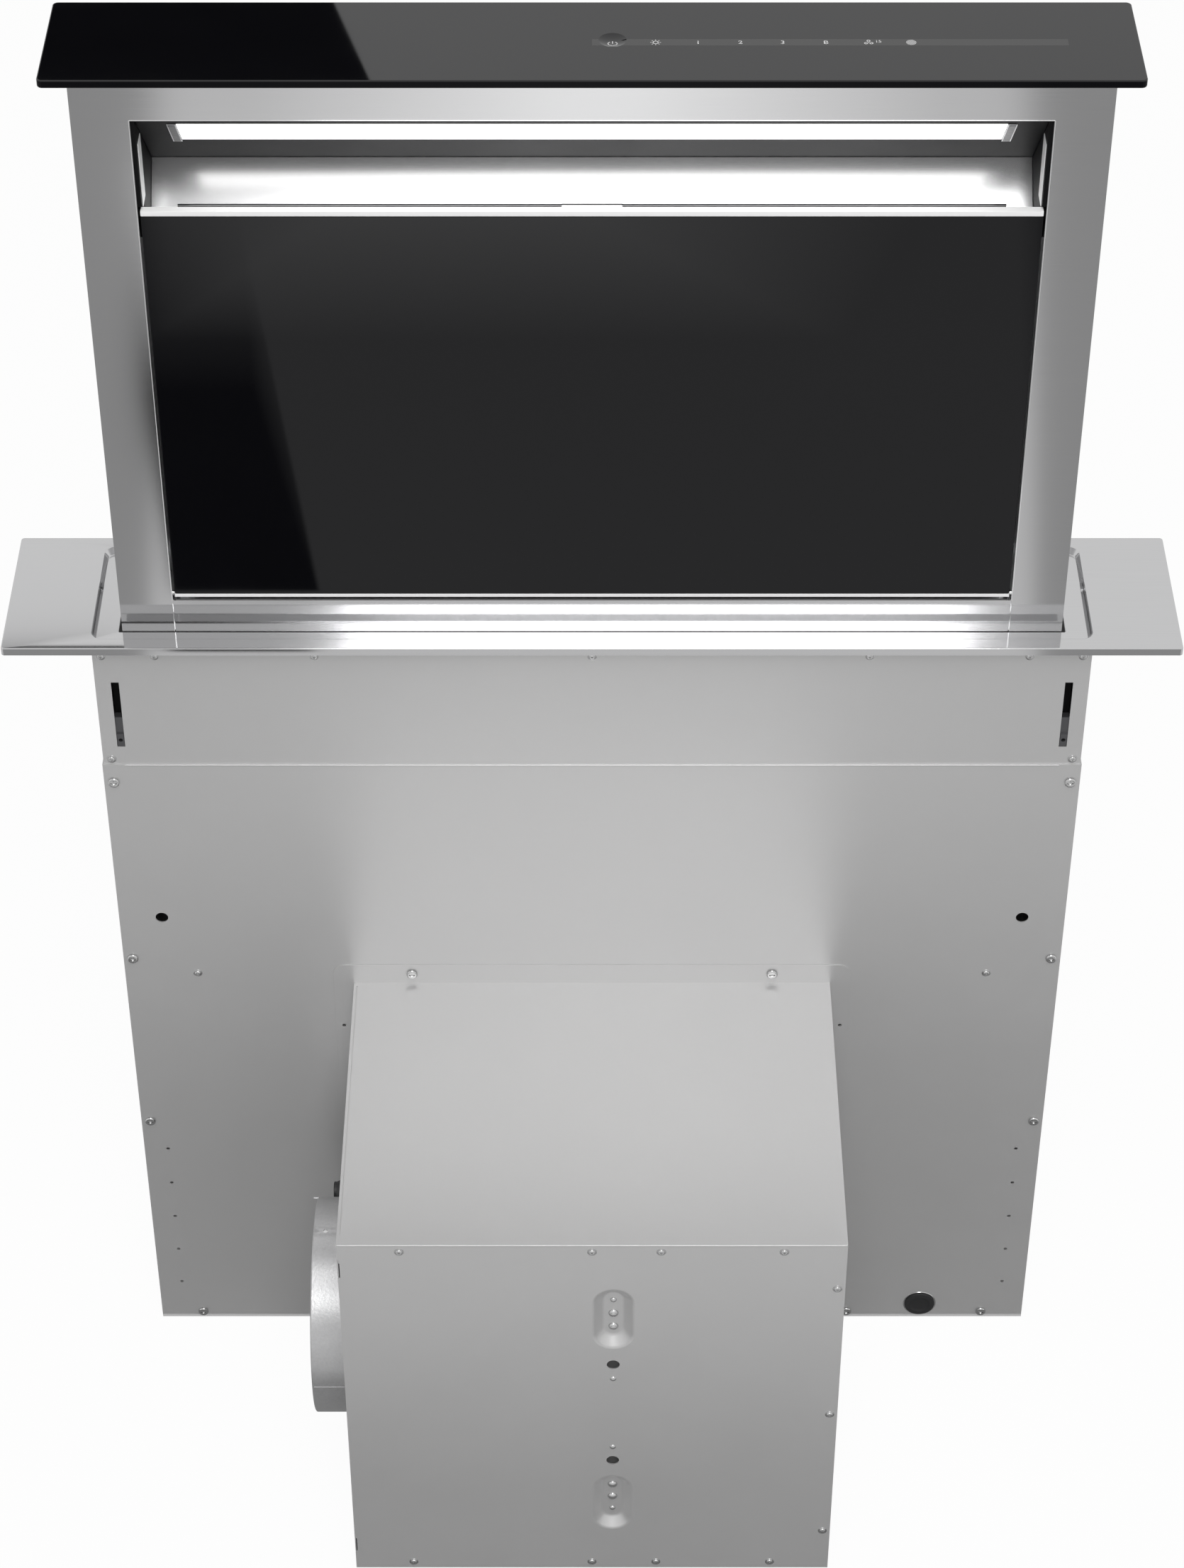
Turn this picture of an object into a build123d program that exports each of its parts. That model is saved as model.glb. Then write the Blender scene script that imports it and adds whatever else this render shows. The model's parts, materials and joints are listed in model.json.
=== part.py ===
from build123d import *
import os
from math import sqrt

# A downdraft vent with its canopy raised. Millimetres, X to the right, Y to the back, Z up.
# The origin is the centre of the worktop cut-out, on the worktop's upper face: the cover plate
# lies on z = 0 and the housing hangs below it.

# ---------------------------------------------------------------- cover plate
PLATE_WIDTH = 880.0
PLATE_DEPTH = 138.0
PLATE_HEIGHT = 6.5
PLATE_SHEET = 1.2
PLATE_CORNER = 2.5
PLATE_EDGE = 0.6          # rounding of the upper edge
RECESS_DEPTH = 5.0
RECESS_SLOPE = 2.5        # how far the recess wall leans outwards
RECESS_CORNER = 6.0       # leaves the cap's own corner clear
CAP_GAP = 1.0             # round the lowered cap
SLOT_SIDE_GAP = 3.0
SLOT_FACE_GAP = 0.8
GASKET_WIDTH = 8.0
HANGER_SHEET = 1.5
HANGER_HEIGHT = 22.0
SEAL_WIDTH = 5.0
SEAL_HEIGHT = 6.0
SEAL_GAP = 0.4

# ---------------------------------------------------------------- glass cap
CAP_LAP_SIDE, CAP_LAP_FACE = 18.5, 11.5    # how far the cap laps over the canopy
CAP_THICKNESS = 6.0
CAP_CORNER = 4.0
CAP_EDGE = 0.8
CAP_REST_GAP = 0.3        # left under the cap when the canopy is down
TRAY_SHEET = 1.5
TRAY_SKIRT = 20.0
BOARD_SHEET = 1.6
TOUCH_LEFT = -6.0
TOUCH_LENGTH = 334.0
TOUCH_DEPTH = 28.0
TOUCH_Y = -2.4            # line of the touch symbols
BOARD_GAP = 1.0

# ---------------------------------------------------------------- canopy
CANOPY_SIDE_GAP = 24.0    # from the canopy's side to the housing's
CANOPY_DEPTH = 84.0
DRIVE_ROOM = 280.5        # how much less the canopy rises than the housing is high
CANOPY_TAIL = 62.0        # what stays below the worktop
CANOPY_SHEET = 1.5
POST_WIDTH = 40.0
POST_RETURN = 20.0
TOP_RAIL = 31.5
SILL_HEIGHT = 31.0        # lower edge of the window above the worktop
CEILING_RUN = 71.0        # the ceiling falls at 45 degrees over this distance
CEILING_SHEET = 2.0
LINER = 3.0
LENS_START = 11.0         # along the slope, from the front edge
LENS_WIDTH = 41.0
LENS_END_GAP = 21.0       # from the lens's cap to the intake's side
LENS_THICKNESS = 3.0
LENS_CAP = 6.0
LENS_CAP_PROUD = 0.5
TROUGH_DEPTH = 16.0
GUIDE_RUN = 25.5          # the air guide falls forwards at 45 degrees over this distance
GUIDE_SHEET = 1.2
LINER_GAP = 1.0           # behind the tilting front
LINER_LIFT = 2.5          # above the tilting front
STOP_GAP = 2.5            # from the tilting front to the filters' shelf

# ---------------------------------------------------------------- filters
FILTER_THICKNESS = 12.7
FILTER_BORDER = 10.0
FILTER_GAP = 1.0
FILTER_SHEET = 1.0
FILTER_TOP_GAP = 8.0
MESH_HOLE = 18.0
MESH_PITCH = 26.0
FILTER_TAB_WIDTH = 30.0
FILTER_TAB_REACH = 5.0
FILTER_TAB_SHEET = 3.0

# ---------------------------------------------------------------- tilting front
GLASS_GAP = 1.6
GLASS_THICKNESS = 5.2
GLASS_DROP = 106.5        # from the canopy's top to the glass's
GLASS_BOTTOM = 37.0
GLASS_CORNER = 1.5
GLASS_EDGE = 0.5
CARRIER_SHEET = 1.2
CARRIER_HEM_TOP = 4.0     # bright edge above the glass
CARRIER_HEM_BOTTOM = 3.0
HINGE_INSET = 3.2
HINGE_HEIGHT = 36.0
HINGE_RADIUS = 1.5
HINGE_PIN_REACH = 6.0
GRIP_WIDTH = 42.0
GRIP_REACH = 5.0
FIT = 0.05                # radial play of every running fit
CLEAR = 0.3               # between pieces that pass each other

# ---------------------------------------------------------------- housing
HOUSING_WIDTH = 752.0
HOUSING_DEPTH = 110.0
HOUSING_HEIGHT = 750.5
SHEET = 1.0
BAND_HEIGHT = 118.0
BAND_LAP = 8.0
BAND_RETURN = 10.0
SIDE_RETURN = 16.0
PAN_FLANGE = 10.0
FLANGE_WIDTH, FLANGE_HEIGHT = 417.0, 411.0
FLANGE_RISE = 11.5        # above the housing's bottom
OPENING_WIDTH, OPENING_HEIGHT = 320.0, 320.0     # air opening to the blower
OPENING_RISE = 39.0       # above the flange's bottom
OPENING_CORNER = 20.0
FLANGE_SHEET = 0.8
FLANGE_CORNER = 10.0

# Clamp slots in the upper band
SLOT_INSET = 16.0         # from the housing's edge to the slot's middle
SLOT_WIDTH = 6.0
SLOT_TOP = -38.0
SLOT_LENGTH = 63.0
KEY_HEIGHT = 12.0
KEY_END_GAP = 0.5
CLAMP_WIDTH = 9.6
CLAMP_HEIGHT = 30.0
CLAMP_THICKNESS = 6.0
CLAMP_FOOT = 2.5          # of the block, below its key
CLAMP_THREAD = 1.6

# Holes, screws and rivets of the housing; an inset is measured inwards from the nearest edge
SIDE_HOLE_INSET, SIDE_HOLE_Z, SIDE_HOLE_RADIUS = 34.0, -277.0, 5.0
COLUMN_INSET, COLUMN_DROP, COLUMN_PITCH, COLUMN_COUNT, COLUMN_RADIUS = 19.7, 212.2, 41.2, 5, 1.5
FLANGE_HOLE_INSET, FLANGE_HOLE_DROP = 6.5, 67.4
FLANGE_SCREW_INSET, FLANGE_SCREW_DROP = 63.5, 9.5
STUD_INSET = 58.5
EDGE_SCREW_INSET, EDGE_SCREW_DROP, EDGE_SCREW_PITCH, EDGE_SCREW_COUNT = 7.5, 17.5, 185.5, 3
PAN_SCREW_INNER, PAN_SCREW_OUTER, PAN_SCREW_RISE = 153.5, 36.0, 7.5
RIVET_ROW_Z, RIVET_LOW_RISE, RIVET_LOW_INSET = -12.6, 4.8, 7.5
RIVET_ROW_INNER, RIVET_ROW_OUTER = 167.5, 47.5
COVER_SCREW_INSET, COVER_SCREW_PITCH = 13.5, 120.0
HEAD_RADIUS, HEAD_HEIGHT, SHANK_RADIUS, SHANK_LENGTH = 4.4, 2.2, 1.9, 6.0
RIVET_RADIUS, RIVET_HEIGHT, RIVET_SHANK, RIVET_LENGTH = 3.7, 1.5, 1.6, 4.0
CROSS_WIDTH, CROSS_DEPTH = 1.1, 1.2
HEAD_RIM, HEAD_CROWN = 0.35, 0.55      # of a head's height and radius, where its slope starts and ends
GROMMET_INSET, GROMMET_RISE, GROMMET_RADIUS = 90.0, 17.2, 9.0
GROMMET_RIM, GROMMET_RIM_HEIGHT, GROMMET_DISH, GROMMET_WALL = 13.0, 2.0, 1.2, 1.0

# ---------------------------------------------------------------- blower box
BOX_INSET, BOX_RISE = 16.5, 6.0    # from the flange's sides and bottom
BOX_HEIGHT = 385.5
BOX_FRONT = -341.5
BOX_FLANGE = 11.5
BOX_RIVET_Z = 7.7         # below the top edge, above the bottom edge
BOX_RIVET_X = (-145.0, 0.0, 52.0, 144.5)
BOX_RIVET_EDGE = 6.0
BOX_RIVET_DROPS = (48.7, 194.3, 337.9)    # below the box's top
TAB_HEIGHT, TAB_DROPS = 19.0, (26.0, 356.0)
POCKET_X = 16.4
POCKET_LENGTH, POCKET_WIDTH = 65.5, 30.0
POCKET_FLAT_LENGTH, POCKET_FLAT_WIDTH = 49.0, 16.3
POCKET_DEPTH = 6.7
POCKET_PITCH = 219.0      # between the two pocket centres
POCKET_HOLE, POCKET_HOLE_SMALL, POCKET_HOLE_PITCH = 2.6, 1.6, 15.0
FRONT_HOLE_OFFSET, FRONT_HOLE_RADIUS = 57.2, 5.0
FRONT_SMALL_OFFSET, FRONT_SMALL_RADIUS = 40.8, 1.6

# ---------------------------------------------------------------- exhaust and fan
COLLAR_Y, COLLAR_RISE = -198.0, 159.0    # above the box's bottom
COLLAR_RADIUS, COLLAR_WALL, COLLAR_LENGTH = 87.0, 2.5, 32.0
COLLAR_FLANGE, COLLAR_FLANGE_SHEET = 95.0, 1.5
PORT_RADIUS = 72.0
FLAP_SETBACK = 10.0       # from the collar's mouth to the flaps' pin
FLAP_SHEET, FLAP_GAP = 1.2, 0.4
FLAP_PIN, FLAP_BARREL, FLAP_BARREL_LENGTH = 2.0, 3.4, 60.0
FLAP_PIN_RECESS = 0.6     # of each pin end below the collar's skin
SCROLL_RADIUS, SCROLL_DEPTH, SCROLL_SHEET = 128.0, 148.0, 1.5
DUCT_HEIGHT = 160.0
INLET_RADIUS, INLET_LIP, INLET_DEPTH = 80.0, 12.0, 6.0
IMPELLER_RADIUS, IMPELLER_LENGTH, DISC_SHEET, RIM_LENGTH = 92.0, 128.0, 2.0, 3.0
BLADE_COUNT, BLADE_CHORD, BLADE_SHEET, BLADE_ANGLE = 36, 14.0, 1.6, 35.0
HUB_RADIUS, HUB_LENGTH, HUB_GAP, FAN_SHAFT, FAN_SHAFT_GRIP = 14.0, 40.0, 4.0, 4.0, 34.0
MOTOR_RADIUS, MOTOR_ROUNDING, BRACKET_SHEET, BRACKET_WIDTH = 55.0, 5.0, 2.0, 40.0
GLAND_Y, GLAND_RISE, GLAND_RADIUS = -85.0, 173.0, 8.0
GLAND_NUT, GLAND_NUT_LENGTH, GLAND_LENGTH = 11.0, 8.0, 24.0

# ---------------------------------------------------------------- lift drive
BELT_INSET, BELT_Y = 14.0, -16.0
BELT_WIDTH, BELT_THICKNESS = 8.0, 1.6
PULLEY_RADIUS, PULLEY_LIP, PULLEY_LIP_SHEET = 10.0, 2.5, 1.2
IDLER_Z, IDLER_AXLE = -36.0, 2.5
AXLE_COLLAR, AXLE_SPACER = 1.5, 9.0    # how far the collar stands out; radius of the spacer
SHAFT_RADIUS, SHAFT_BELOW, SHAFT_END_GAP = 4.0, 30.0, 3.0
BEARING_RADIUS, BEARING_LENGTH = 12.0, 7.0
RAIL_Y, RAIL_WIDTH, RAIL_THICKNESS = 18.0, 20.0, 8.0
GROOVE_WIDTH, GROOVE_DEPTH = 8.0, 5.5
SHOE_HEIGHT, SHOE_WIDTH = 14.0, 18.0
GRIP_HEIGHT, GRIP_THICKNESS, WEB_THICKNESS = 12.0, 9.0, 5.0
GEARBOX_INSET, GEARBOX_LENGTH, GEARBOX_SIZE = 56.0, 50.0, 40.0
LIFT_MOTOR_RADIUS, LIFT_MOTOR_LENGTH = 19.0, 85.0
GEARBOX_ARM, GEARBOX_FOOT, GEARBOX_ROUNDING = 6.0, 3.0, 4.0

# ---------------------------------------------------------------- control box
CONTROL_INSET, CONTROL_WIDTH, CONTROL_HEIGHT, CONTROL_DEPTH = 46.0, 130.0, 105.0, 84.0
CONTROL_SHEET, CONTROL_PAD, CONTROL_POST, BOARD_MARGIN = 1.5, 4.0, 3.0, 8.0

# ---------------------------------------------------------------- worked out from these
recess_floor = PLATE_HEIGHT - RECESS_DEPTH
plate_underside = recess_floor - PLATE_SHEET
canopy_rise = HOUSING_HEIGHT - DRIVE_ROOM      # top of the column above the worktop
stroke = canopy_rise - recess_floor - CAP_REST_GAP
canopy_width = HOUSING_WIDTH - 2 * CANOPY_SIDE_GAP
half_canopy = canopy_width / 2
cap_width = canopy_width + 2 * CAP_LAP_SIDE
cap_depth = CANOPY_DEPTH + 2 * CAP_LAP_FACE
glass_top = canopy_rise - GLASS_DROP
canopy_front_y = -CANOPY_DEPTH / 2
canopy_back_y = CANOPY_DEPTH / 2
canopy_inside = half_canopy - CANOPY_SHEET
window_half = half_canopy - POST_WIDTH
window_top = canopy_rise - TOP_RAIL
slot_half_width = half_canopy + SLOT_SIDE_GAP
slot_half_depth = CANOPY_DEPTH / 2 + SLOT_FACE_GAP
half_width = HOUSING_WIDTH / 2
half_depth = HOUSING_DEPTH / 2
main_top = -BAND_HEIGHT
band_half = half_width - SHEET
band_inside = band_half - SHEET
band_depth = half_depth - SHEET
band_depth_inside = band_depth - SHEET
pan_top = -HOUSING_HEIGHT + SHEET
shaft_z = -(CANOPY_TAIL + stroke) - SHAFT_BELOW
lining_half = window_half - LINER
lens_length = 2 * (lining_half - LENS_END_GAP - LENS_CAP)
glass_front = canopy_front_y
glass_back = glass_front + GLASS_THICKNESS
carrier_back = glass_back + CARRIER_SHEET
glass_half = window_half - GLASS_GAP
hinge_y = canopy_front_y + HINGE_INSET
ceiling_y = canopy_front_y + CANOPY_SHEET
guide_y = ceiling_y + CEILING_RUN
guide_top = window_top - CEILING_RUN
guide_low_y = guide_y - GUIDE_RUN
guide_low = guide_top - GUIDE_RUN
flange_half_width = FLANGE_WIDTH / 2
flange_bottom = -HOUSING_HEIGHT + FLANGE_RISE
flange_top = flange_bottom + FLANGE_HEIGHT
flange_middle = (flange_top + flange_bottom) / 2
opening_middle = flange_bottom + OPENING_RISE + OPENING_HEIGHT / 2
box_half = flange_half_width - BOX_INSET
box_bottom_z = flange_bottom + BOX_RISE
box_top_z = box_bottom_z + BOX_HEIGHT
tab_heights = [box_top_z - drop for drop in TAB_DROPS]
collar_z = box_bottom_z + COLLAR_RISE
gland_z = box_bottom_z + GLAND_RISE
box_inside = box_half - SHEET
box_back = -half_depth - FLANGE_SHEET
box_front_inside = BOX_FRONT + SHEET
fan_z = (box_top_z + box_bottom_z) / 2
scroll_front = COLLAR_Y - SCROLL_DEPTH / 2
scroll_back = COLLAR_Y + SCROLL_DEPTH / 2
bracket_front = BOX_FRONT + POCKET_DEPTH + SHEET
collar_end = -box_half - COLLAR_LENGTH
flap_x = collar_end + FLAP_SETBACK
belt_inner = PULLEY_RADIUS + CLEAR
belt_outer = belt_inner + BELT_THICKNESS
pulley_half = BELT_WIDTH / 2 + CLEAR + PULLEY_LIP_SHEET
slot_x = half_width - SLOT_INSET
belt_x = half_width - BELT_INSET
grommet_x = half_width - GROMMET_INSET
grommet_z = -HOUSING_HEIGHT + GROMMET_RISE
edge_screw_heights = [main_top - EDGE_SCREW_DROP - n * EDGE_SCREW_PITCH for n in range(EDGE_SCREW_COUNT)]
column_heights = [flange_top - COLUMN_DROP - n * COLUMN_PITCH for n in range(COLUMN_COUNT)]


def on_both_sides(half, insets, heights):
    """Places at these insets from both edges of something this half wide, at each height."""
    return [(side * (half - inset), z) for side in (-1, 1) for inset in insets for z in heights]


edge_screws = on_both_sides(half_width, [EDGE_SCREW_INSET], edge_screw_heights)
pan_screws = on_both_sides(half_width, [PAN_SCREW_INNER, PAN_SCREW_OUTER], [-HOUSING_HEIGHT + PAN_SCREW_RISE])
side_holes = on_both_sides(half_width, [SIDE_HOLE_INSET], [SIDE_HOLE_Z])
column_holes = on_both_sides(half_width, [COLUMN_INSET], column_heights)
stud_places = on_both_sides(half_width, [STUD_INSET], [flange_top - FLANGE_SCREW_DROP])
flange_screws_at = on_both_sides(flange_half_width, [FLANGE_SCREW_INSET], [flange_top - FLANGE_SCREW_DROP])
flange_holes = on_both_sides(flange_half_width, [FLANGE_HOLE_INSET], [flange_top - FLANGE_HOLE_DROP])
band_rivet_row = [(0.0, RIVET_ROW_Z)] + on_both_sides(
    half_width, [RIVET_ROW_INNER, RIVET_ROW_OUTER, RIVET_LOW_INSET], [RIVET_ROW_Z])
band_rivet_low = on_both_sides(half_width, [RIVET_LOW_INSET], [main_top + RIVET_LOW_RISE])
cover_screws_at = on_both_sides(
    flange_half_width, [COVER_SCREW_INSET], [flange_middle + n * COVER_SCREW_PITCH for n in (-1, 0, 1)])
box_rivets_row = [(x, z) for z in (box_top_z - BOX_RIVET_Z, box_bottom_z + BOX_RIVET_Z) for x in BOX_RIVET_X]
box_rivets_side = [(box_half - BOX_RIVET_EDGE, box_top_z - drop) for drop in BOX_RIVET_DROPS]

ROD_TURN = {"X": (0, 90, 0), "Y": (90, 0, 0), "Z": (0, 0, 0)}


def slab(x, y, z, mode=Mode.ADD):
    """A block between two values on each axis."""
    with Locations(((x[0] + x[1]) / 2, (y[0] + y[1]) / 2, (z[0] + z[1]) / 2)):
        Box(abs(x[1] - x[0]), abs(y[1] - y[0]), abs(z[1] - z[0]), mode=mode)


def rod(axis, at, span, radius, mode=Mode.ADD):
    """A cylinder along an axis; at holds its other two coordinates in X, Y, Z order."""
    middle = (span[0] + span[1]) / 2
    places = {"X": (middle, *at), "Y": (at[0], middle, at[1]), "Z": (*at, middle)}
    with Locations(places[axis]):
        Cylinder(radius, abs(span[1] - span[0]), rotation=ROD_TURN[axis], mode=mode)


def holes_y(places, y, radius):
    """Round holes through a panel that faces the front or the back."""
    with Locations(*[(x, (y[0] + y[1]) / 2, z) for x, z in places]):
        Cylinder(radius, abs(y[1] - y[0]), rotation=ROD_TURN["Y"], mode=Mode.SUBTRACT)


def facing_front(y):
    """Sketch plane at this depth, with X and Z as its axes."""
    return Plane.XZ.offset(-y)


def add_fasteners(places, face, outward, shank, head, crossed=False):
    """Fasteners through a front or back face: shank and head are (radius, length) pairs."""
    with BuildPart(mode=Mode.PRIVATE) as one:
        # The outline of half a fastener is turned about its axis; the face it stands on is at zero.
        with BuildSketch(Plane.XZ):
            Polygon((0, -shank[1]), (shank[0], -shank[1]), (shank[0], 0), (head[0], 0),
                    (head[0], head[1] * HEAD_RIM), (head[0] * HEAD_CROWN, head[1]), (0, head[1]),
                    align=None)
        revolve(axis=Axis.Z)
        if crossed:
            with Locations((0, 0, head[1] - CROSS_DEPTH / 2)):
                Box(head[0], CROSS_WIDTH, CROSS_DEPTH, mode=Mode.SUBTRACT)
                Box(CROSS_WIDTH, head[0], CROSS_DEPTH, mode=Mode.SUBTRACT)
    with Locations(*[(x, face, z) for x, z in places]):
        add(one.part, rotation=(-90 * outward, 0, 0))


def add_rivets(places, face, outward, length=RIVET_LENGTH):
    """Blind rivets through a front or back face."""
    add_fasteners(places, face, outward, (RIVET_SHANK, length), (RIVET_RADIUS, RIVET_HEIGHT))


def add_screws(places, face, outward, length=SHANK_LENGTH):
    """Cross-recess screws through a front or back face."""
    add_fasteners(places, face, outward, (SHANK_RADIUS, length), (HEAD_RADIUS, HEAD_HEIGHT), crossed=True)


def save(piece, name):
    """Name a finished piece and write its file."""
    piece.part.label = name
    export_step(piece.part, f"parts/{name}.step")


os.makedirs("parts", exist_ok=True)

# ================================================================ worktop level
floor_width = cap_width + 2 * CAP_GAP
floor_depth = cap_depth + 2 * CAP_GAP

with BuildPart() as cover_plate:
    with BuildSketch():
        RectangleRounded(PLATE_WIDTH, PLATE_DEPTH, PLATE_CORNER)
    extrude(amount=PLATE_HEIGHT)
    fillet(cover_plate.faces().sort_by(Axis.Z)[-1].edges(), PLATE_EDGE)
    with BuildSketch():
        RectangleRounded(PLATE_WIDTH - 2 * PLATE_SHEET, PLATE_DEPTH - 2 * PLATE_SHEET, PLATE_SHEET)
    extrude(amount=PLATE_HEIGHT - PLATE_SHEET, mode=Mode.SUBTRACT)
    # The recess is a drawn pan: its outer skin is added, then its inside is cut.
    for level, grow, mode in ((plate_underside, 2 * PLATE_SHEET, Mode.ADD), (recess_floor, 0, Mode.SUBTRACT)):
        with BuildSketch(Plane.XY.offset(level)):
            RectangleRounded(floor_width + grow, floor_depth + grow, RECESS_CORNER)
        with BuildSketch(Plane.XY.offset(PLATE_HEIGHT)):
            RectangleRounded(floor_width + grow + 2 * RECESS_SLOPE, floor_depth + grow + 2 * RECESS_SLOPE,
                             RECESS_CORNER + RECESS_SLOPE)
        loft(mode=mode)
    slab((-slot_half_width, slot_half_width), (-slot_half_depth, slot_half_depth),
         (plate_underside, recess_floor), mode=Mode.SUBTRACT)
save(cover_plate, "cover_plate")

with BuildPart() as plate_gasket:
    inner_width = PLATE_WIDTH - 2 * PLATE_SHEET
    inner_depth = PLATE_DEPTH - 2 * PLATE_SHEET
    with BuildSketch():
        RectangleRounded(inner_width, inner_depth, PLATE_SHEET)
        Rectangle(inner_width - 2 * GASKET_WIDTH, inner_depth - 2 * GASKET_WIDTH, mode=Mode.SUBTRACT)
    extrude(amount=PLATE_HEIGHT - PLATE_SHEET)
save(plate_gasket, "plate_gasket")

# Angle frame under the plate, riveted into the band
hanger_underside = plate_underside - HANGER_SHEET
with BuildPart() as hanger_frame:
    slab((-band_inside, band_inside), (-band_depth_inside, band_depth_inside),
         (-HANGER_HEIGHT, plate_underside))
    slab((-band_inside + HANGER_SHEET, band_inside - HANGER_SHEET),
         (-band_depth_inside + HANGER_SHEET, band_depth_inside - HANGER_SHEET),
         (-HANGER_HEIGHT, hanger_underside), mode=Mode.SUBTRACT)
    slab((-slot_half_width, slot_half_width), (-slot_half_depth, slot_half_depth),
         (hanger_underside, plate_underside), mode=Mode.SUBTRACT)
    for side in (-1, 1):
        holes_y(band_rivet_row, (side * band_depth_inside, side * (band_depth_inside - HANGER_SHEET)),
                RIVET_SHANK)
save(hanger_frame, "hanger_frame")

with BuildPart() as slot_seal:
    with BuildSketch(Plane.XY.offset(hanger_underside)):
        Rectangle(2 * (slot_half_width + SEAL_WIDTH), 2 * (slot_half_depth + SEAL_WIDTH))
        Rectangle(canopy_width + 2 * SEAL_GAP, CANOPY_DEPTH + 2 * SEAL_GAP, mode=Mode.SUBTRACT)
    extrude(amount=-SEAL_HEIGHT)
save(slot_seal, "slot_seal")

# ================================================================ cap
with BuildPart() as cap_glass:
    with BuildSketch(Plane.XY.offset(canopy_rise)):
        RectangleRounded(cap_width, cap_depth, CAP_CORNER)
    extrude(amount=CAP_THICKNESS)
    chamfer(cap_glass.faces().sort_by(Axis.Z)[-1].edges(), CAP_EDGE)
save(cap_glass, "cap_glass")

touch_x = (TOUCH_LEFT, TOUCH_LEFT + TOUCH_LENGTH)
touch_y = (TOUCH_Y - TOUCH_DEPTH / 2, TOUCH_Y + TOUCH_DEPTH / 2)
with BuildPart() as cap_tray:
    tray_y = canopy_back_y - CANOPY_SHEET
    slab((-canopy_inside, canopy_inside), (-tray_y, tray_y), (canopy_rise - TRAY_SHEET, canopy_rise))
    for side in (-1, 1):
        slab((-canopy_inside, canopy_inside), (side * (tray_y - TRAY_SHEET), side * tray_y),
             (canopy_rise - TRAY_SKIRT, canopy_rise - TRAY_SHEET))
    slab((touch_x[0] - BOARD_GAP, touch_x[1] + BOARD_GAP), (touch_y[0] - BOARD_GAP, touch_y[1] + BOARD_GAP),
         (canopy_rise - TRAY_SHEET, canopy_rise), mode=Mode.SUBTRACT)
save(cap_tray, "cap_tray")

with BuildPart() as touch_board:
    slab(touch_x, touch_y, (canopy_rise - BOARD_SHEET, canopy_rise))
save(touch_board, "touch_board")

# ================================================================ canopy column
with BuildPart() as canopy_front:
    with BuildSketch(facing_front(canopy_front_y)):
        with Locations((0, (canopy_rise - CANOPY_TAIL) / 2)):
            Rectangle(canopy_width, canopy_rise + CANOPY_TAIL)
        with Locations((0, (window_top + SILL_HEIGHT) / 2)):
            Rectangle(2 * window_half, window_top - SILL_HEIGHT, mode=Mode.SUBTRACT)
    extrude(amount=-CANOPY_SHEET)
    for side in (-1, 1):
        # The post folds back along the window, and carries the glass's hinge.
        slab((side * window_half, side * (window_half + CANOPY_SHEET)),
             (ceiling_y, ceiling_y + POST_RETURN), (SILL_HEIGHT, window_top))
    slab((-window_half - CANOPY_SHEET, window_half + CANOPY_SHEET), (ceiling_y, ceiling_y + POST_RETURN),
         (SILL_HEIGHT - CANOPY_SHEET, SILL_HEIGHT))
    for side in (-1, 1):
        rod("X", (hinge_y, HINGE_HEIGHT), (side * window_half, side * (window_half + CANOPY_SHEET)),
            HINGE_RADIUS + FIT, mode=Mode.SUBTRACT)
save(canopy_front, "canopy_front")

with BuildPart() as canopy_sides:
    for side in (-1, 1):
        slab((side * canopy_inside, side * half_canopy), (ceiling_y, canopy_back_y),
             (-CANOPY_TAIL, canopy_rise))
save(canopy_sides, "canopy_sides")

with BuildPart() as canopy_rear:
    slab((-canopy_inside, canopy_inside), (canopy_back_y - CANOPY_SHEET, canopy_back_y),
         (-CANOPY_TAIL, canopy_rise))
save(canopy_rear, "canopy_rear")

# ================================================================ light and air guide
# The ceiling of the intake falls backwards at 45 degrees; its plane faces down and forwards.
slope = Plane(origin=(0, ceiling_y, window_top), x_dir=(1, 0, 0), z_dir=(0, -1, -1))
ceiling_length = CEILING_RUN * sqrt(2)
lens_middle = LENS_START + LENS_WIDTH / 2
lens_opening = lens_length + 2 * LENS_CAP
trough_inside = TROUGH_DEPTH - CEILING_SHEET

with BuildPart() as light_housing:
    with BuildSketch(slope):
        with Locations((0, -ceiling_length / 2)):
            Rectangle(2 * lining_half, ceiling_length)
    extrude(amount=-CEILING_SHEET)
    with BuildSketch(slope):
        with Locations((0, -lens_middle)):
            Rectangle(lens_opening + 2 * CEILING_SHEET, LENS_WIDTH + 2 * CEILING_SHEET)
    extrude(amount=-TROUGH_DEPTH)
    with BuildSketch(slope):
        with Locations((0, -lens_middle)):
            Rectangle(lens_opening, LENS_WIDTH)
    extrude(amount=-trough_inside, mode=Mode.SUBTRACT)
    # Raised caps at the two ends of the lens
    for side in (-1, 1):
        with BuildSketch(slope.offset(LENS_CAP_PROUD)):
            with Locations((side * (lens_length + LENS_CAP) / 2, -lens_middle)):
                Rectangle(LENS_CAP, LENS_WIDTH)
        extrude(amount=-LENS_THICKNESS - LENS_CAP_PROUD)
save(light_housing, "light_housing")

with BuildPart() as light_lens:
    with BuildSketch(slope):
        with Locations((0, -lens_middle)):
            Rectangle(lens_length, LENS_WIDTH)
    extrude(amount=-LENS_THICKNESS)
save(light_lens, "light_lens")

with BuildPart() as led_board:
    with BuildSketch(slope.offset(-trough_inside)):
        with Locations((0, -lens_middle)):
            Rectangle(lens_length, LENS_WIDTH)
    extrude(amount=BOARD_SHEET)
save(led_board, "led_board")

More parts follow.
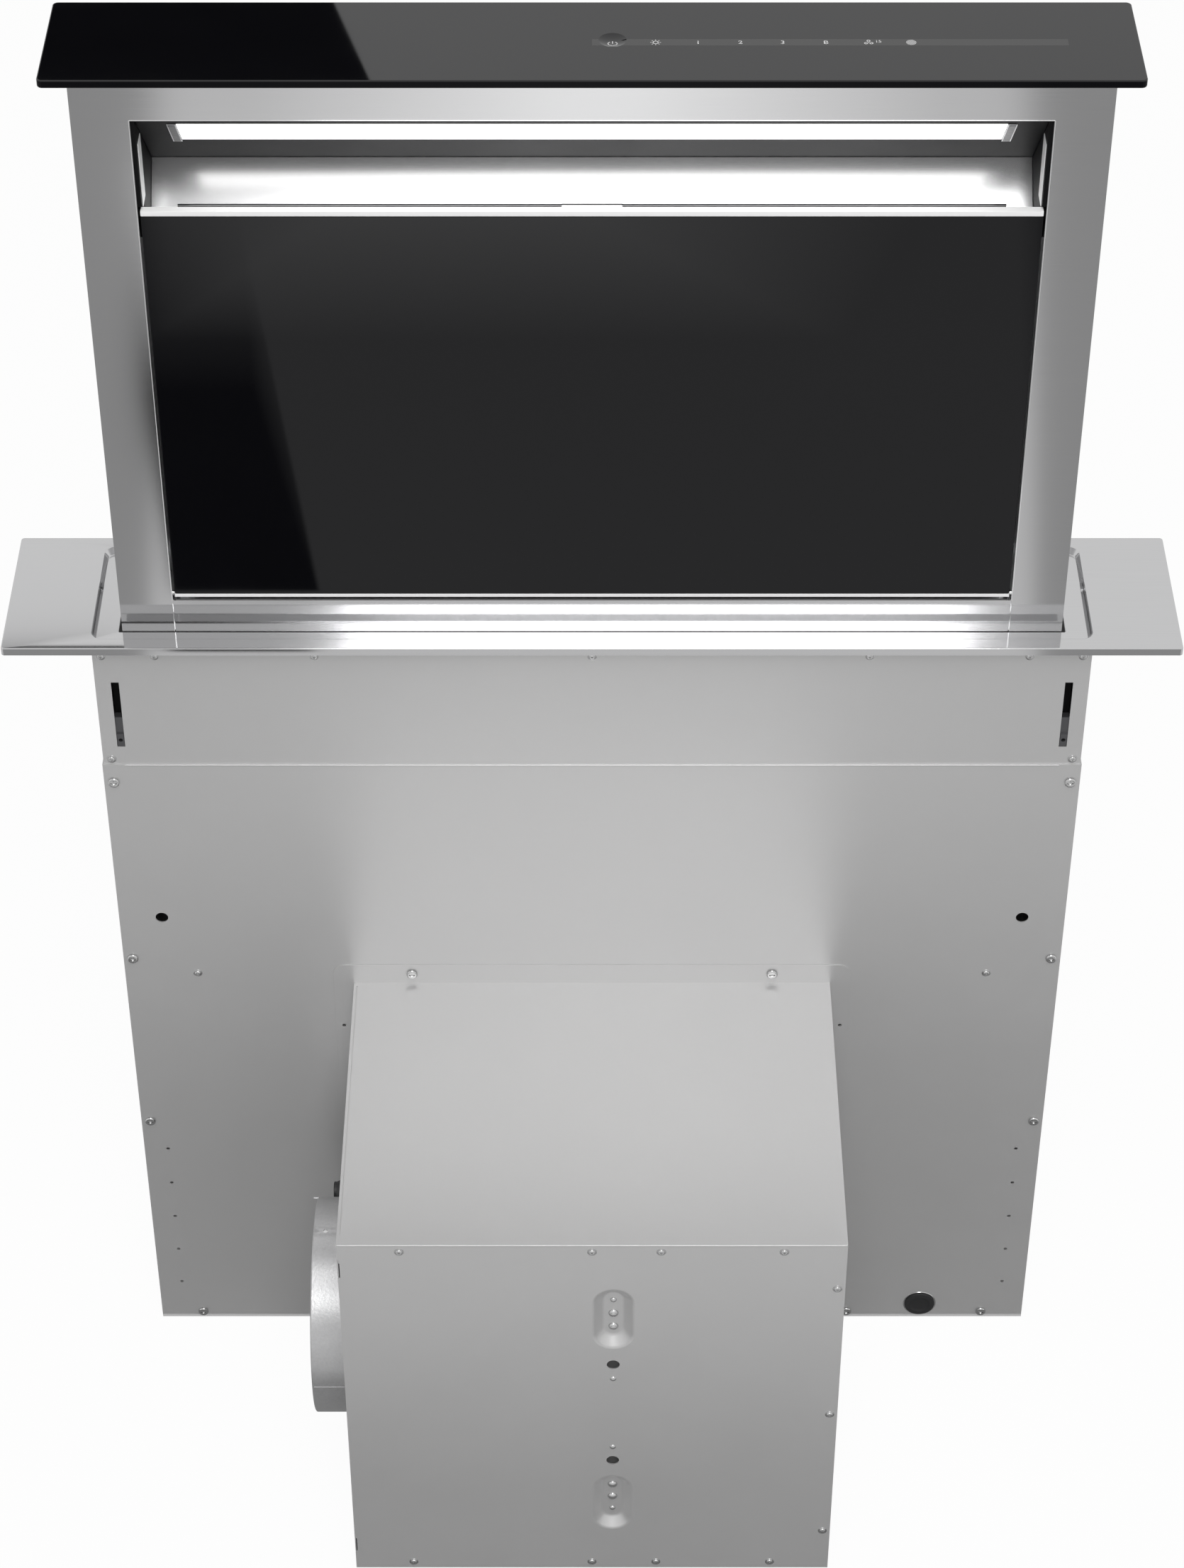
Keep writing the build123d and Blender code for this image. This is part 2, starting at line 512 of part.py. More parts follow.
with BuildPart() as intake_liners:
    behind_panel = carrier_back + LINER_GAP
    panel_clear = glass_top + CARRIER_HEM_TOP + LINER_LIFT
    for side in (-1, 1):
        with BuildSketch(Plane.YZ.offset(side * window_half)):
            with BuildLine():
                Polyline((ceiling_y, window_top), (ceiling_y, panel_clear), (behind_panel, panel_clear),
                         (behind_panel, guide_low), (guide_low_y, guide_low), (guide_y, guide_top),
                         (ceiling_y, window_top))
            make_face()
        extrude(amount=-side * LINER)
save(intake_liners, "intake_liners")

with BuildPart() as air_guide:
    skew = GUIDE_SHEET / sqrt(2)
    with BuildSketch(Plane.YZ.offset(-lining_half)):
        with BuildLine():
            Polyline((guide_y, guide_top), (guide_low_y, guide_low), (guide_low_y + skew, guide_low - skew),
                     (guide_y + skew, guide_top - skew), (guide_y, guide_top))
        make_face()
    extrude(amount=2 * lining_half)
save(air_guide, "air_guide")

# ================================================================ filters behind the glass
holder_y = guide_low_y
holder_top = guide_low - GUIDE_SHEET / sqrt(2)
holder_floor = SILL_HEIGHT + CANOPY_SHEET
filter_height = guide_low - FILTER_TOP_GAP - holder_floor
filter_width = window_half - FILTER_GAP * 2
filter_middle = FILTER_GAP / 2 + filter_width / 2
filter_z = holder_floor + filter_height / 2

with BuildPart() as filter_holder:
    slab((-canopy_inside, canopy_inside), (holder_y, holder_y + CANOPY_SHEET), (SILL_HEIGHT, holder_top))
    slab((-window_half, window_half), (carrier_back + STOP_GAP, holder_y), (SILL_HEIGHT, holder_floor))
    for side in (-1, 1):
        slab((side * (filter_middle - filter_width / 2 + FILTER_BORDER),
              side * (filter_middle + filter_width / 2 - FILTER_BORDER)),
             (holder_y, holder_y + CANOPY_SHEET),
             (holder_floor + FILTER_BORDER, holder_floor + filter_height - FILTER_BORDER), mode=Mode.SUBTRACT)
save(filter_holder, "filter_holder")

filter_front = holder_y - FILTER_THICKNESS
mesh_columns = int((filter_width - 2 * FILTER_BORDER) // MESH_PITCH)
mesh_rows = int((filter_height - 2 * FILTER_BORDER) // MESH_PITCH)
filter_tab_z = holder_floor + filter_height - FILTER_BORDER / 2
with BuildPart() as grease_filters:
    with BuildSketch(facing_front(filter_front)):
        with Locations((-filter_middle, filter_z), (filter_middle, filter_z)):
            Rectangle(filter_width, filter_height)
    extrude(amount=-FILTER_THICKNESS)
    with BuildSketch(facing_front(filter_front + FILTER_SHEET)):
        with Locations((-filter_middle, filter_z), (filter_middle, filter_z)):
            Rectangle(filter_width - 2 * FILTER_BORDER, filter_height - 2 * FILTER_BORDER)
    extrude(amount=-FILTER_THICKNESS + 2 * FILTER_SHEET, mode=Mode.SUBTRACT)
    # Square holes through both face sheets
    with BuildSketch(facing_front(filter_front)):
        with Locations((-filter_middle, filter_z), (filter_middle, filter_z)):
            with GridLocations(MESH_PITCH, MESH_PITCH, mesh_columns, mesh_rows):
                Rectangle(MESH_HOLE, MESH_HOLE)
    extrude(amount=-FILTER_THICKNESS, mode=Mode.SUBTRACT)
    # A pull tab on each filter's upper edge
    for middle in (-filter_middle, filter_middle):
        slab((middle - FILTER_TAB_WIDTH / 2, middle + FILTER_TAB_WIDTH / 2),
             (filter_front - FILTER_TAB_REACH, filter_front),
             (filter_tab_z - FILTER_TAB_SHEET / 2, filter_tab_z + FILTER_TAB_SHEET / 2))
save(grease_filters, "grease_filters")

# ================================================================ tilting front
with BuildPart() as front_glass:
    with BuildSketch(facing_front(glass_front)):
        with Locations((0, (glass_top + GLASS_BOTTOM) / 2)):
            RectangleRounded(2 * glass_half, glass_top - GLASS_BOTTOM, GLASS_CORNER)
    extrude(amount=-GLASS_THICKNESS)
    chamfer(front_glass.faces().sort_by(Axis.Y)[0].edges(), GLASS_EDGE)
save(front_glass, "front_glass")

with BuildPart() as glass_carrier:
    carrier_top = glass_top + CARRIER_HEM_TOP
    carrier_bottom = GLASS_BOTTOM - CARRIER_HEM_BOTTOM
    slab((-glass_half, glass_half), (glass_back, carrier_back), (carrier_bottom, carrier_top))
    slab((-glass_half, glass_half), (glass_front, glass_back), (glass_top, carrier_top))
    slab((-glass_half, glass_half), (glass_front, glass_back), (carrier_bottom, GLASS_BOTTOM))
    slab((-GRIP_WIDTH / 2, GRIP_WIDTH / 2), (carrier_back, carrier_back + GRIP_REACH),
         (carrier_top - CARRIER_SHEET, carrier_top))
save(glass_carrier, "glass_carrier")

with BuildPart() as hinge_pins:
    for side in (-1, 1):
        rod("X", (hinge_y, HINGE_HEIGHT), (side * glass_half, side * (window_half + HINGE_PIN_REACH)),
            HINGE_RADIUS)
save(hinge_pins, "hinge_pins")

# ================================================================ lift drive
rail_low = shaft_z + BEARING_RADIUS + 2 * CLEAR
rail_high = -HANGER_HEIGHT - SHEET
rail_face = band_inside - RAIL_THICKNESS
with BuildPart() as guide_rails:
    for side in (-1, 1):
        slab((side * rail_face, side * band_inside), (RAIL_Y - RAIL_WIDTH / 2, RAIL_Y + RAIL_WIDTH / 2),
             (rail_low, rail_high))
        slab((side * rail_face, side * (rail_face + GROOVE_DEPTH)),
             (RAIL_Y - GROOVE_WIDTH / 2, RAIL_Y + GROOVE_WIDTH / 2), (rail_low, rail_high), mode=Mode.SUBTRACT)
save(guide_rails, "guide_rails")

with BuildPart() as belts:
    for side in (-1, 1):
        with BuildSketch(Plane.YZ.offset(side * belt_x - BELT_WIDTH / 2)):
            with Locations((BELT_Y, (IDLER_Z + shaft_z) / 2)):
                SlotCenterToCenter(IDLER_Z - shaft_z, 2 * belt_outer, rotation=90)
                SlotCenterToCenter(IDLER_Z - shaft_z, 2 * belt_inner, rotation=90, mode=Mode.SUBTRACT)
        extrude(amount=BELT_WIDTH)
save(belts, "belts")

# A carriage on each side of the canopy's tail: its tongue runs in the rail, its ring holds the belt.
belt_run = (BELT_Y + belt_inner, BELT_Y + belt_outer)
grip_middle = sum(belt_run) / 2
carriage_low = -CANOPY_TAIL
with BuildPart() as lift_carriages:
    for side in (-1, 1):
        slab((side * half_canopy, side * (rail_face - CLEAR)), (RAIL_Y - SHOE_WIDTH / 2, RAIL_Y + SHOE_WIDTH / 2),
             (carriage_low, carriage_low + SHOE_HEIGHT))
        slab((side * (rail_face - CLEAR), side * (rail_face + GROOVE_DEPTH - CLEAR)),
             (RAIL_Y - GROOVE_WIDTH / 2 + CLEAR, RAIL_Y + GROOVE_WIDTH / 2 - CLEAR),
             (carriage_low, carriage_low + SHOE_HEIGHT))
        slab((side * half_canopy, side * (belt_x + pulley_half)),
             (grip_middle - GRIP_THICKNESS / 2, grip_middle + GRIP_THICKNESS / 2),
             (carriage_low, carriage_low + GRIP_HEIGHT))
        slab((side * (belt_x - BELT_WIDTH / 2 - CLEAR), side * (belt_x + BELT_WIDTH / 2 + CLEAR)),
             (belt_run[0] - CLEAR, belt_run[1] + CLEAR), (carriage_low, carriage_low + GRIP_HEIGHT),
             mode=Mode.SUBTRACT)
        # Web between the shoe and the belt grip
        slab((side * half_canopy, side * (half_canopy + WEB_THICKNESS)),
             (grip_middle + GRIP_THICKNESS / 2, RAIL_Y - SHOE_WIDTH / 2), (carriage_low, carriage_low + GRIP_HEIGHT))
save(lift_carriages, "lift_carriages")


def add_pulley(side, z, bore):
    """A flanged pulley on an X axis, for one of the two belts."""
    middle = side * belt_x
    rod("X", (BELT_Y, z), (middle - pulley_half, middle + pulley_half), PULLEY_RADIUS)
    for end in (-1, 1):
        rod("X", (BELT_Y, z), (middle + end * (pulley_half - PULLEY_LIP_SHEET), middle + end * pulley_half),
            PULLEY_RADIUS + PULLEY_LIP)
    rod("X", (BELT_Y, z), (middle - pulley_half, middle + pulley_half), bore, mode=Mode.SUBTRACT)


for side, name in ((-1, "idler_left"), (1, "idler_right")):
    with BuildPart() as idler:
        add_pulley(side, IDLER_Z, IDLER_AXLE + FIT)
    save(idler, name)

with BuildPart() as idler_axles:
    for side in (-1, 1):
        inner_end = belt_x - pulley_half - CLEAR
        rod("X", (BELT_Y, IDLER_Z), (side * (inner_end - PULLEY_LIP_SHEET), side * band_inside), IDLER_AXLE)
        rod("X", (BELT_Y, IDLER_Z), (side * (inner_end - PULLEY_LIP_SHEET), side * inner_end), IDLER_AXLE + AXLE_COLLAR)
        rod("X", (BELT_Y, IDLER_Z), (side * (belt_x + pulley_half + CLEAR), side * band_inside),
            AXLE_SPACER)
save(idler_axles, "idler_axles")

shaft_end = half_width - SHEET - SHAFT_END_GAP
with BuildPart() as lift_shaft:
    rod("X", (BELT_Y, shaft_z), (-shaft_end, shaft_end), SHAFT_RADIUS)
save(lift_shaft, "lift_shaft")

with BuildPart() as drive_pulleys:
    for side in (-1, 1):
        add_pulley(side, shaft_z, SHAFT_RADIUS)
save(drive_pulleys, "drive_pulleys")

with BuildPart() as shaft_bearings:
    for side in (-1, 1):
        wall = half_width - SHEET
        rod("X", (BELT_Y, shaft_z), (side * (wall - BEARING_LENGTH), side * wall), BEARING_RADIUS)
        rod("X", (BELT_Y, shaft_z), (side * (wall - BEARING_LENGTH), side * (shaft_end + CLEAR)),
            SHAFT_RADIUS + FIT, mode=Mode.SUBTRACT)
save(shaft_bearings, "shaft_bearings")

gearbox_x = (-half_width + GEARBOX_INSET, -half_width + GEARBOX_INSET + GEARBOX_LENGTH)
gearbox_middle = sum(gearbox_x) / 2
gearbox_y = (BELT_Y - GEARBOX_SIZE / 2, BELT_Y + GEARBOX_SIZE / 2)
gearbox_z = (shaft_z - GEARBOX_SIZE / 2, shaft_z + GEARBOX_SIZE / 2)
# The motor can hangs under its gearbox, whose arm is fixed to the housing's back.
with BuildPart() as lift_motor:
    back = half_depth - SHEET
    slab(gearbox_x, gearbox_y, gearbox_z)
    fillet(lift_motor.edges().filter_by(Axis.X), GEARBOX_ROUNDING)
    rod("Z", (gearbox_middle, BELT_Y), (gearbox_z[0] - LIFT_MOTOR_LENGTH, shaft_z), LIFT_MOTOR_RADIUS)
    fillet(lift_motor.faces().sort_by(Axis.Z)[0].edges(), GEARBOX_ROUNDING / 2)
    slab(gearbox_x, (gearbox_y[1] - GEARBOX_ARM, back), (shaft_z - GEARBOX_ARM, shaft_z + GEARBOX_ARM))
    slab(gearbox_x, (back - GEARBOX_FOOT, back), gearbox_z)
    rod("X", (BELT_Y, shaft_z), gearbox_x, SHAFT_RADIUS + FIT, mode=Mode.SUBTRACT)
save(lift_motor, "lift_motor")

# ================================================================ housing band
slot_z = (SLOT_TOP - SLOT_LENGTH, SLOT_TOP)
for side, name in ((-1, "band_front"), (1, "band_back")):
    with BuildPart() as band_panel:
        with BuildSketch(facing_front(side * band_depth)):
            with Locations((0, -(BAND_HEIGHT + BAND_LAP) / 2)):
                Rectangle(2 * band_half, BAND_HEIGHT + BAND_LAP)
        extrude(amount=side * SHEET)
        span = (side * band_depth_inside, side * band_depth)
        holes_y(band_rivet_row + band_rivet_low, span, RIVET_SHANK)
        if name == "band_front":
            for edge in (-1, 1):
                slab((edge * (slot_x - SLOT_WIDTH / 2), edge * (slot_x + SLOT_WIDTH / 2)), span, slot_z,
                     mode=Mode.SUBTRACT)
    save(band_panel, name)

with BuildPart() as band_sides:
    for side in (-1, 1):
        slab((side * band_inside, side * band_half), (-band_depth_inside, band_depth_inside),
             (main_top - BAND_LAP, 0))
        for face in (-1, 1):
            fold = (face * (band_depth_inside - SHEET), face * band_depth_inside)
            slab((side * (band_inside - BAND_RETURN), side * band_inside), fold,
                 (main_top - BAND_LAP, -HANGER_HEIGHT - SHEET))
    for face in (-1, 1):
        holes_y(band_rivet_low, (face * (band_depth_inside - SHEET), face * band_depth_inside), RIVET_SHANK)
save(band_sides, "band_sides")

# Blocks that slide in the slots and take the worktop clamps
key_low = slot_z[0] + KEY_END_GAP
for side, name in ((-1, "clamp_block_left"), (1, "clamp_block_right")):
    with BuildPart() as clamp_block:
        block_front = -band_depth_inside + CLEAR
        key_middle = key_low + KEY_HEIGHT / 2
        outer_x = slot_x + SLOT_WIDTH / 2 + CLEAR
        slab((side * (outer_x - CLAMP_WIDTH), side * outer_x), (block_front, block_front + CLAMP_THICKNESS),
             (key_low - CLAMP_FOOT, key_low - CLAMP_FOOT + CLAMP_HEIGHT))
        slab((side * (slot_x - SLOT_WIDTH / 2 + CLEAR), side * (slot_x + SLOT_WIDTH / 2 - CLEAR)),
             (-band_depth, block_front), (key_low, key_low + KEY_HEIGHT))
        rod("Y", (side * slot_x, key_middle), (-band_depth, block_front + CLAMP_THICKNESS), CLAMP_THREAD,
            mode=Mode.SUBTRACT)
    save(clamp_block, name)

# ================================================================ main housing
for side, name in ((-1, "housing_front"), (1, "housing_back")):
    with BuildPart() as housing_panel:
        with BuildSketch(facing_front(side * half_depth)):
            with Locations((0, (main_top - HOUSING_HEIGHT) / 2)):
                Rectangle(HOUSING_WIDTH, HOUSING_HEIGHT + main_top)
            with Locations((0, opening_middle)):
                RectangleRounded(OPENING_WIDTH, OPENING_HEIGHT, OPENING_CORNER, mode=Mode.SUBTRACT)
        extrude(amount=side * SHEET)
        span = (side * (half_depth - SHEET), side * half_depth)
        holes_y(edge_screws + pan_screws, span, SHANK_RADIUS)
        if name == "housing_front":
            holes_y(side_holes, span, SIDE_HOLE_RADIUS)
            holes_y(column_holes + flange_holes, span, COLUMN_RADIUS)
            holes_y(flange_screws_at, span, SHANK_RADIUS)
            holes_y(stud_places, span, RIVET_SHANK)
            holes_y([(grommet_x, grommet_z)], span, GROMMET_RADIUS)
        else:
            holes_y(cover_screws_at, span, SHANK_RADIUS)
    save(housing_panel, name)

inside = half_width - SHEET
depth_inside = half_depth - SHEET
with BuildPart() as housing_sides:
    for side in (-1, 1):
        slab((side * inside, side * half_width), (-depth_inside, depth_inside), (-HOUSING_HEIGHT, main_top))
        for face in (-1, 1):
            fold = (face * (depth_inside - SHEET), face * depth_inside)
            slab((side * (inside - SIDE_RETURN), side * inside), fold,
                 (pan_top, main_top - BAND_LAP - SHEET))
    for face in (-1, 1):
        holes_y(edge_screws, (face * (depth_inside - SHEET), face * depth_inside), SHANK_RADIUS)
save(housing_sides, "housing_sides")

with BuildPart() as bottom_pan:
    flange_half = inside - SIDE_RETURN - 2 * SHEET
    slab((-inside, inside), (-depth_inside, depth_inside), (-HOUSING_HEIGHT, pan_top))
    for face in (-1, 1):
        fold = (face * (depth_inside - SHEET), face * depth_inside)
        slab((-flange_half, flange_half), fold, (pan_top, pan_top + PAN_FLANGE))
        holes_y(pan_screws, fold, SHANK_RADIUS)
    holes_y([(grommet_x, grommet_z)], (-depth_inside, -depth_inside + SHEET), GROMMET_RADIUS)
save(bottom_pan, "bottom_pan")

with BuildPart() as blower_flange:
    with BuildSketch(facing_front(-half_depth)):
        with Locations((0, flange_middle)):
            RectangleRounded(FLANGE_WIDTH, FLANGE_HEIGHT, FLANGE_CORNER)
        with Locations((0, opening_middle)):
            RectangleRounded(OPENING_WIDTH, OPENING_HEIGHT, OPENING_CORNER, mode=Mode.SUBTRACT)
    extrude(amount=FLANGE_SHEET)
    holes_y(flange_holes, (-half_depth - FLANGE_SHEET, -half_depth), COLUMN_RADIUS)
    holes_y(flange_screws_at, (-half_depth - FLANGE_SHEET, -half_depth), SHANK_RADIUS)
save(blower_flange, "blower_flange")

with BuildPart() as rear_cover:
    with BuildSketch(facing_front(half_depth)):
        with Locations((0, flange_middle)):
            RectangleRounded(FLANGE_WIDTH, FLANGE_HEIGHT, FLANGE_CORNER)
    extrude(amount=-FLANGE_SHEET)
    holes_y(cover_screws_at, (half_depth, half_depth + FLANGE_SHEET), SHANK_RADIUS)
save(rear_cover, "rear_cover")

# ================================================================ blower box
for side, outer, name in ((1, box_top_z, "box_top"), (-1, box_bottom_z, "box_bottom")):
    with BuildPart() as box_cover:
        inner = outer - side * SHEET
        slab((-box_half, box_half), (box_front_inside, box_back), (inner, outer))
        slab((-box_inside, box_inside), (box_front_inside, box_front_inside + SHEET),
             (inner - side * BOX_FLANGE, inner))
        holes_y(box_rivets_row, (box_front_inside, box_front_inside + SHEET), RIVET_SHANK)
    save(box_cover, name)

box_side_z = (box_bottom_z + SHEET, box_top_z - SHEET)
with BuildPart() as box_left:
    slab((-box_half, -box_inside), (box_front_inside, box_back), box_side_z)
    rod("X", (COLLAR_Y, collar_z), (-box_half, -box_inside), PORT_RADIUS, mode=Mode.SUBTRACT)
    rod("X", (GLAND_Y, gland_z), (-box_half, -box_inside), GLAND_RADIUS, mode=Mode.SUBTRACT)
    for z in tab_heights:
        slab((-box_half, -box_inside), (BOX_FRONT, box_front_inside), (z - TAB_HEIGHT / 2, z + TAB_HEIGHT / 2))
save(box_left, "box_left")

with BuildPart() as box_right:
    slab((box_inside, box_half), (box_front_inside, box_back), box_side_z)
    flange_end = BOX_FLANGE + SHEET
    slab((box_inside - BOX_FLANGE, box_inside), (box_front_inside, box_front_inside + SHEET),
         (box_bottom_z + flange_end, box_top_z - flange_end))
    holes_y(box_rivets_side, (box_front_inside, box_front_inside + SHEET), RIVET_SHANK)
save(box_right, "box_right")

with BuildPart() as box_front:
    slab((-box_half, box_half), (BOX_FRONT, box_front_inside), (box_bottom_z, box_top_z))
    for side in (-1, 1):
        pocket_z = fan_z + side * POCKET_PITCH / 2
        # Each pocket is pressed inwards: the back of the pressing is added, its hollow is cut.
        for start, end, grow, mode in ((box_front_inside, bracket_front, 2 * SHEET, Mode.ADD),
                                       (BOX_FRONT, BOX_FRONT + POCKET_DEPTH, 0, Mode.SUBTRACT)):
            with BuildSketch(facing_front(start)):
                with Locations((POCKET_X, pocket_z)):
                    SlotOverall(POCKET_LENGTH + grow, POCKET_WIDTH + grow, rotation=90)
            with BuildSketch(facing_front(end)):
                with Locations((POCKET_X, pocket_z)):
                    SlotOverall(POCKET_FLAT_LENGTH + grow, POCKET_FLAT_WIDTH + grow, rotation=90)
            loft(mode=mode)
        pressing = (BOX_FRONT, bracket_front)
        holes_y([(POCKET_X, pocket_z), (POCKET_X, pocket_z - side * POCKET_HOLE_PITCH)], pressing, POCKET_HOLE)
        holes_y([(POCKET_X, pocket_z + side * POCKET_HOLE_PITCH)], pressing, POCKET_HOLE_SMALL)
        holes_y([(POCKET_X, fan_z + side * FRONT_HOLE_OFFSET)], pressing, FRONT_HOLE_RADIUS)
        holes_y([(POCKET_X, fan_z + side * FRONT_SMALL_OFFSET)], pressing, FRONT_SMALL_RADIUS)
    holes_y(box_rivets_row + box_rivets_side, (BOX_FRONT, box_front_inside), RIVET_SHANK)
    for z in tab_heights:
        slab((-box_half, -box_inside), (BOX_FRONT, box_front_inside), (z - TAB_HEIGHT / 2, z + TAB_HEIGHT / 2),
             mode=Mode.SUBTRACT)
save(box_front, "box_front")

# ================================================================ fan
duct_z = (collar_z - DUCT_HEIGHT / 2, collar_z + DUCT_HEIGHT / 2)
with BuildPart() as scroll_casing:
    rod("Y", (POCKET_X, fan_z), (scroll_front, scroll_back), SCROLL_RADIUS)
    rod("Y", (POCKET_X, fan_z), (scroll_back, scroll_back + INLET_DEPTH), INLET_RADIUS + INLET_LIP)
    slab((-box_inside, POCKET_X), (scroll_front, scroll_back), duct_z)
    hollow = (scroll_front + SCROLL_SHEET, scroll_back - SCROLL_SHEET)
    rod("Y", (POCKET_X, fan_z), hollow, SCROLL_RADIUS - SCROLL_SHEET, mode=Mode.SUBTRACT)
    slab((-box_inside, POCKET_X), hollow, (duct_z[0] + SCROLL_SHEET, duct_z[1] - SCROLL_SHEET),
         mode=Mode.SUBTRACT)
    rod("Y", (POCKET_X, fan_z), (hollow[1], scroll_back + INLET_DEPTH), INLET_RADIUS, mode=Mode.SUBTRACT)
    rod("Y", (POCKET_X, fan_z), (scroll_front, hollow[0]), HUB_RADIUS + HUB_GAP, mode=Mode.SUBTRACT)
save(scroll_casing, "scroll_casing")

impeller_front = COLLAR_Y - IMPELLER_LENGTH / 2
impeller_back = COLLAR_Y + IMPELLER_LENGTH / 2
shaft_span = (scroll_front - FAN_SHAFT_GRIP, impeller_front + HUB_LENGTH)
with BuildPart() as impeller:
    rod("Y", (POCKET_X, fan_z), (impeller_front, impeller_front + DISC_SHEET), IMPELLER_RADIUS)
    rod("Y", (POCKET_X, fan_z), (impeller_front, impeller_front + HUB_LENGTH), HUB_RADIUS)
    with BuildSketch(facing_front(impeller_front + DISC_SHEET)):
        with Locations((POCKET_X, fan_z)):
            with PolarLocations(IMPELLER_RADIUS - BLADE_CHORD / 2, BLADE_COUNT):
                Rectangle(BLADE_CHORD, BLADE_SHEET, rotation=BLADE_ANGLE)
    extrude(amount=-(IMPELLER_LENGTH - DISC_SHEET))
    with BuildSketch(facing_front(impeller_back - RIM_LENGTH)):
        with Locations((POCKET_X, fan_z)):
            Circle(IMPELLER_RADIUS)
            Circle(IMPELLER_RADIUS - BLADE_CHORD, mode=Mode.SUBTRACT)
    extrude(amount=-RIM_LENGTH)
    rod("Y", (POCKET_X, fan_z), shaft_span, FAN_SHAFT)
save(impeller, "impeller")

motor_front = bracket_front + BRACKET_SHEET
with BuildPart() as blower_motor:
    rod("Y", (POCKET_X, fan_z), (motor_front, scroll_front), MOTOR_RADIUS)
    fillet(blower_motor.faces().sort_by(Axis.Y)[0].edges(), MOTOR_ROUNDING)
    rod("Y", (POCKET_X, fan_z), (shaft_span[0] - CLEAR, scroll_front), FAN_SHAFT + FIT, mode=Mode.SUBTRACT)
save(blower_motor, "blower_motor")

with BuildPart() as motor_bracket:
    reach = POCKET_PITCH / 2 + POCKET_FLAT_LENGTH / 2
    slab((POCKET_X - BRACKET_WIDTH / 2, POCKET_X + BRACKET_WIDTH / 2), (bracket_front, motor_front),
         (fan_z - reach, fan_z + reach))
save(motor_bracket, "motor_bracket")

# ================================================================ exhaust
with BuildPart() as exhaust_collar:
    rod("X", (COLLAR_Y, collar_z), (collar_end, -box_half), COLLAR_RADIUS)
    rod("X", (COLLAR_Y, collar_z), (-box_half - COLLAR_FLANGE_SHEET, -box_half), COLLAR_FLANGE)
    rod("X", (COLLAR_Y, collar_z), (collar_end, -box_half), COLLAR_RADIUS - COLLAR_WALL, mode=Mode.SUBTRACT)
    rod("Z", (flap_x, COLLAR_Y), (collar_z - COLLAR_RADIUS, collar_z + COLLAR_RADIUS), FLAP_PIN,
        mode=Mode.SUBTRACT)
save(exhaust_collar, "exhaust_collar")

with BuildPart() as flap_pin:
    pin_half = COLLAR_RADIUS - FLAP_PIN_RECESS
    rod("Z", (flap_x, COLLAR_Y), (collar_z - pin_half, collar_z + pin_half), FLAP_PIN)
save(flap_pin, "flap_pin")

flap_radius = COLLAR_RADIUS - COLLAR_WALL - FLAP_GAP
flap_start = FLAP_BARREL + 2 * CLEAR
for side, name in ((-1, "flap_front"), (1, "flap_back")):
    with BuildPart() as flap:
        with BuildSketch(Plane.YZ.offset(flap_x)):
            with Locations((COLLAR_Y, collar_z)):
                Circle(flap_radius)
            with Locations((COLLAR_Y - side * (flap_radius - flap_start), collar_z)):
                Rectangle(2 * flap_radius, 3 * flap_radius, mode=Mode.SUBTRACT)
        extrude(amount=FLAP_SHEET / 2, both=True)
        knuckle = (collar_z - side * CLEAR, collar_z - side * FLAP_BARREL_LENGTH)
        rod("Z", (flap_x, COLLAR_Y), knuckle, FLAP_BARREL)
        slab((flap_x - FLAP_SHEET / 2, flap_x + FLAP_SHEET / 2), (COLLAR_Y, COLLAR_Y + side * flap_start), knuckle)
        rod("Z", (flap_x, COLLAR_Y), knuckle, FLAP_PIN + FIT, mode=Mode.SUBTRACT)
    save(flap, name)

with BuildPart() as cable_gland:
    rod("X", (GLAND_Y, gland_z), (-box_half - GLAND_LENGTH, -box_inside), GLAND_RADIUS)
    with BuildSketch(Plane.YZ.offset(-box_half)):
        with Locations((GLAND_Y, gland_z)):
            RegularPolygon(GLAND_NUT, 6)
    extrude(amount=-GLAND_NUT_LENGTH)
save(cable_gland, "cable_gland")

# ================================================================ electrical parts in the housing
with BuildPart() as cable_grommet:
    rod("Y", (grommet_x, grommet_z), (-half_depth - GROMMET_RIM_HEIGHT, -half_depth), GROMMET_RIM)
    rod("Y", (grommet_x, grommet_z), (-half_depth, -depth_inside + SHEET), GROMMET_RADIUS)
    rim_face = -half_depth - GROMMET_RIM_HEIGHT
    rod("Y", (grommet_x, grommet_z), (rim_face, rim_face + GROMMET_DISH), GROMMET_RADIUS - GROMMET_WALL,
        mode=Mode.SUBTRACT)
save(cable_grommet, "cable_grommet")

control_x = (half_width - CONTROL_INSET - CONTROL_WIDTH, half_width - CONTROL_INSET)
control_y = (-CONTROL_DEPTH / 2, CONTROL_DEPTH / 2)
control_z = (pan_top, pan_top + CONTROL_HEIGHT)
board_back = control_y[1] - CONTROL_SHEET - CONTROL_PAD
with BuildPart() as control_box:
    slab(control_x, control_y, control_z)
    slab((control_x[0] + CONTROL_SHEET, control_x[1] - CONTROL_SHEET),
         (control_y[0] + CONTROL_SHEET, control_y[1] - CONTROL_SHEET),
         (control_z[0] + CONTROL_SHEET, control_z[1] - CONTROL_SHEET), mode=Mode.SUBTRACT)
    for x in (control_x[0] + 2 * BOARD_MARGIN, control_x[1] - 2 * BOARD_MARGIN):
        for z in (control_z[0] + 2 * BOARD_MARGIN, control_z[1] - 2 * BOARD_MARGIN):
            rod("Y", (x, z), (board_back, control_y[1] - CONTROL_SHEET), CONTROL_POST)
    # The mains cable comes in opposite the grommet.
    holes_y([(grommet_x, grommet_z)], (control_y[0], control_y[0] + CONTROL_SHEET), GROMMET_RADIUS)
save(control_box, "control_box")

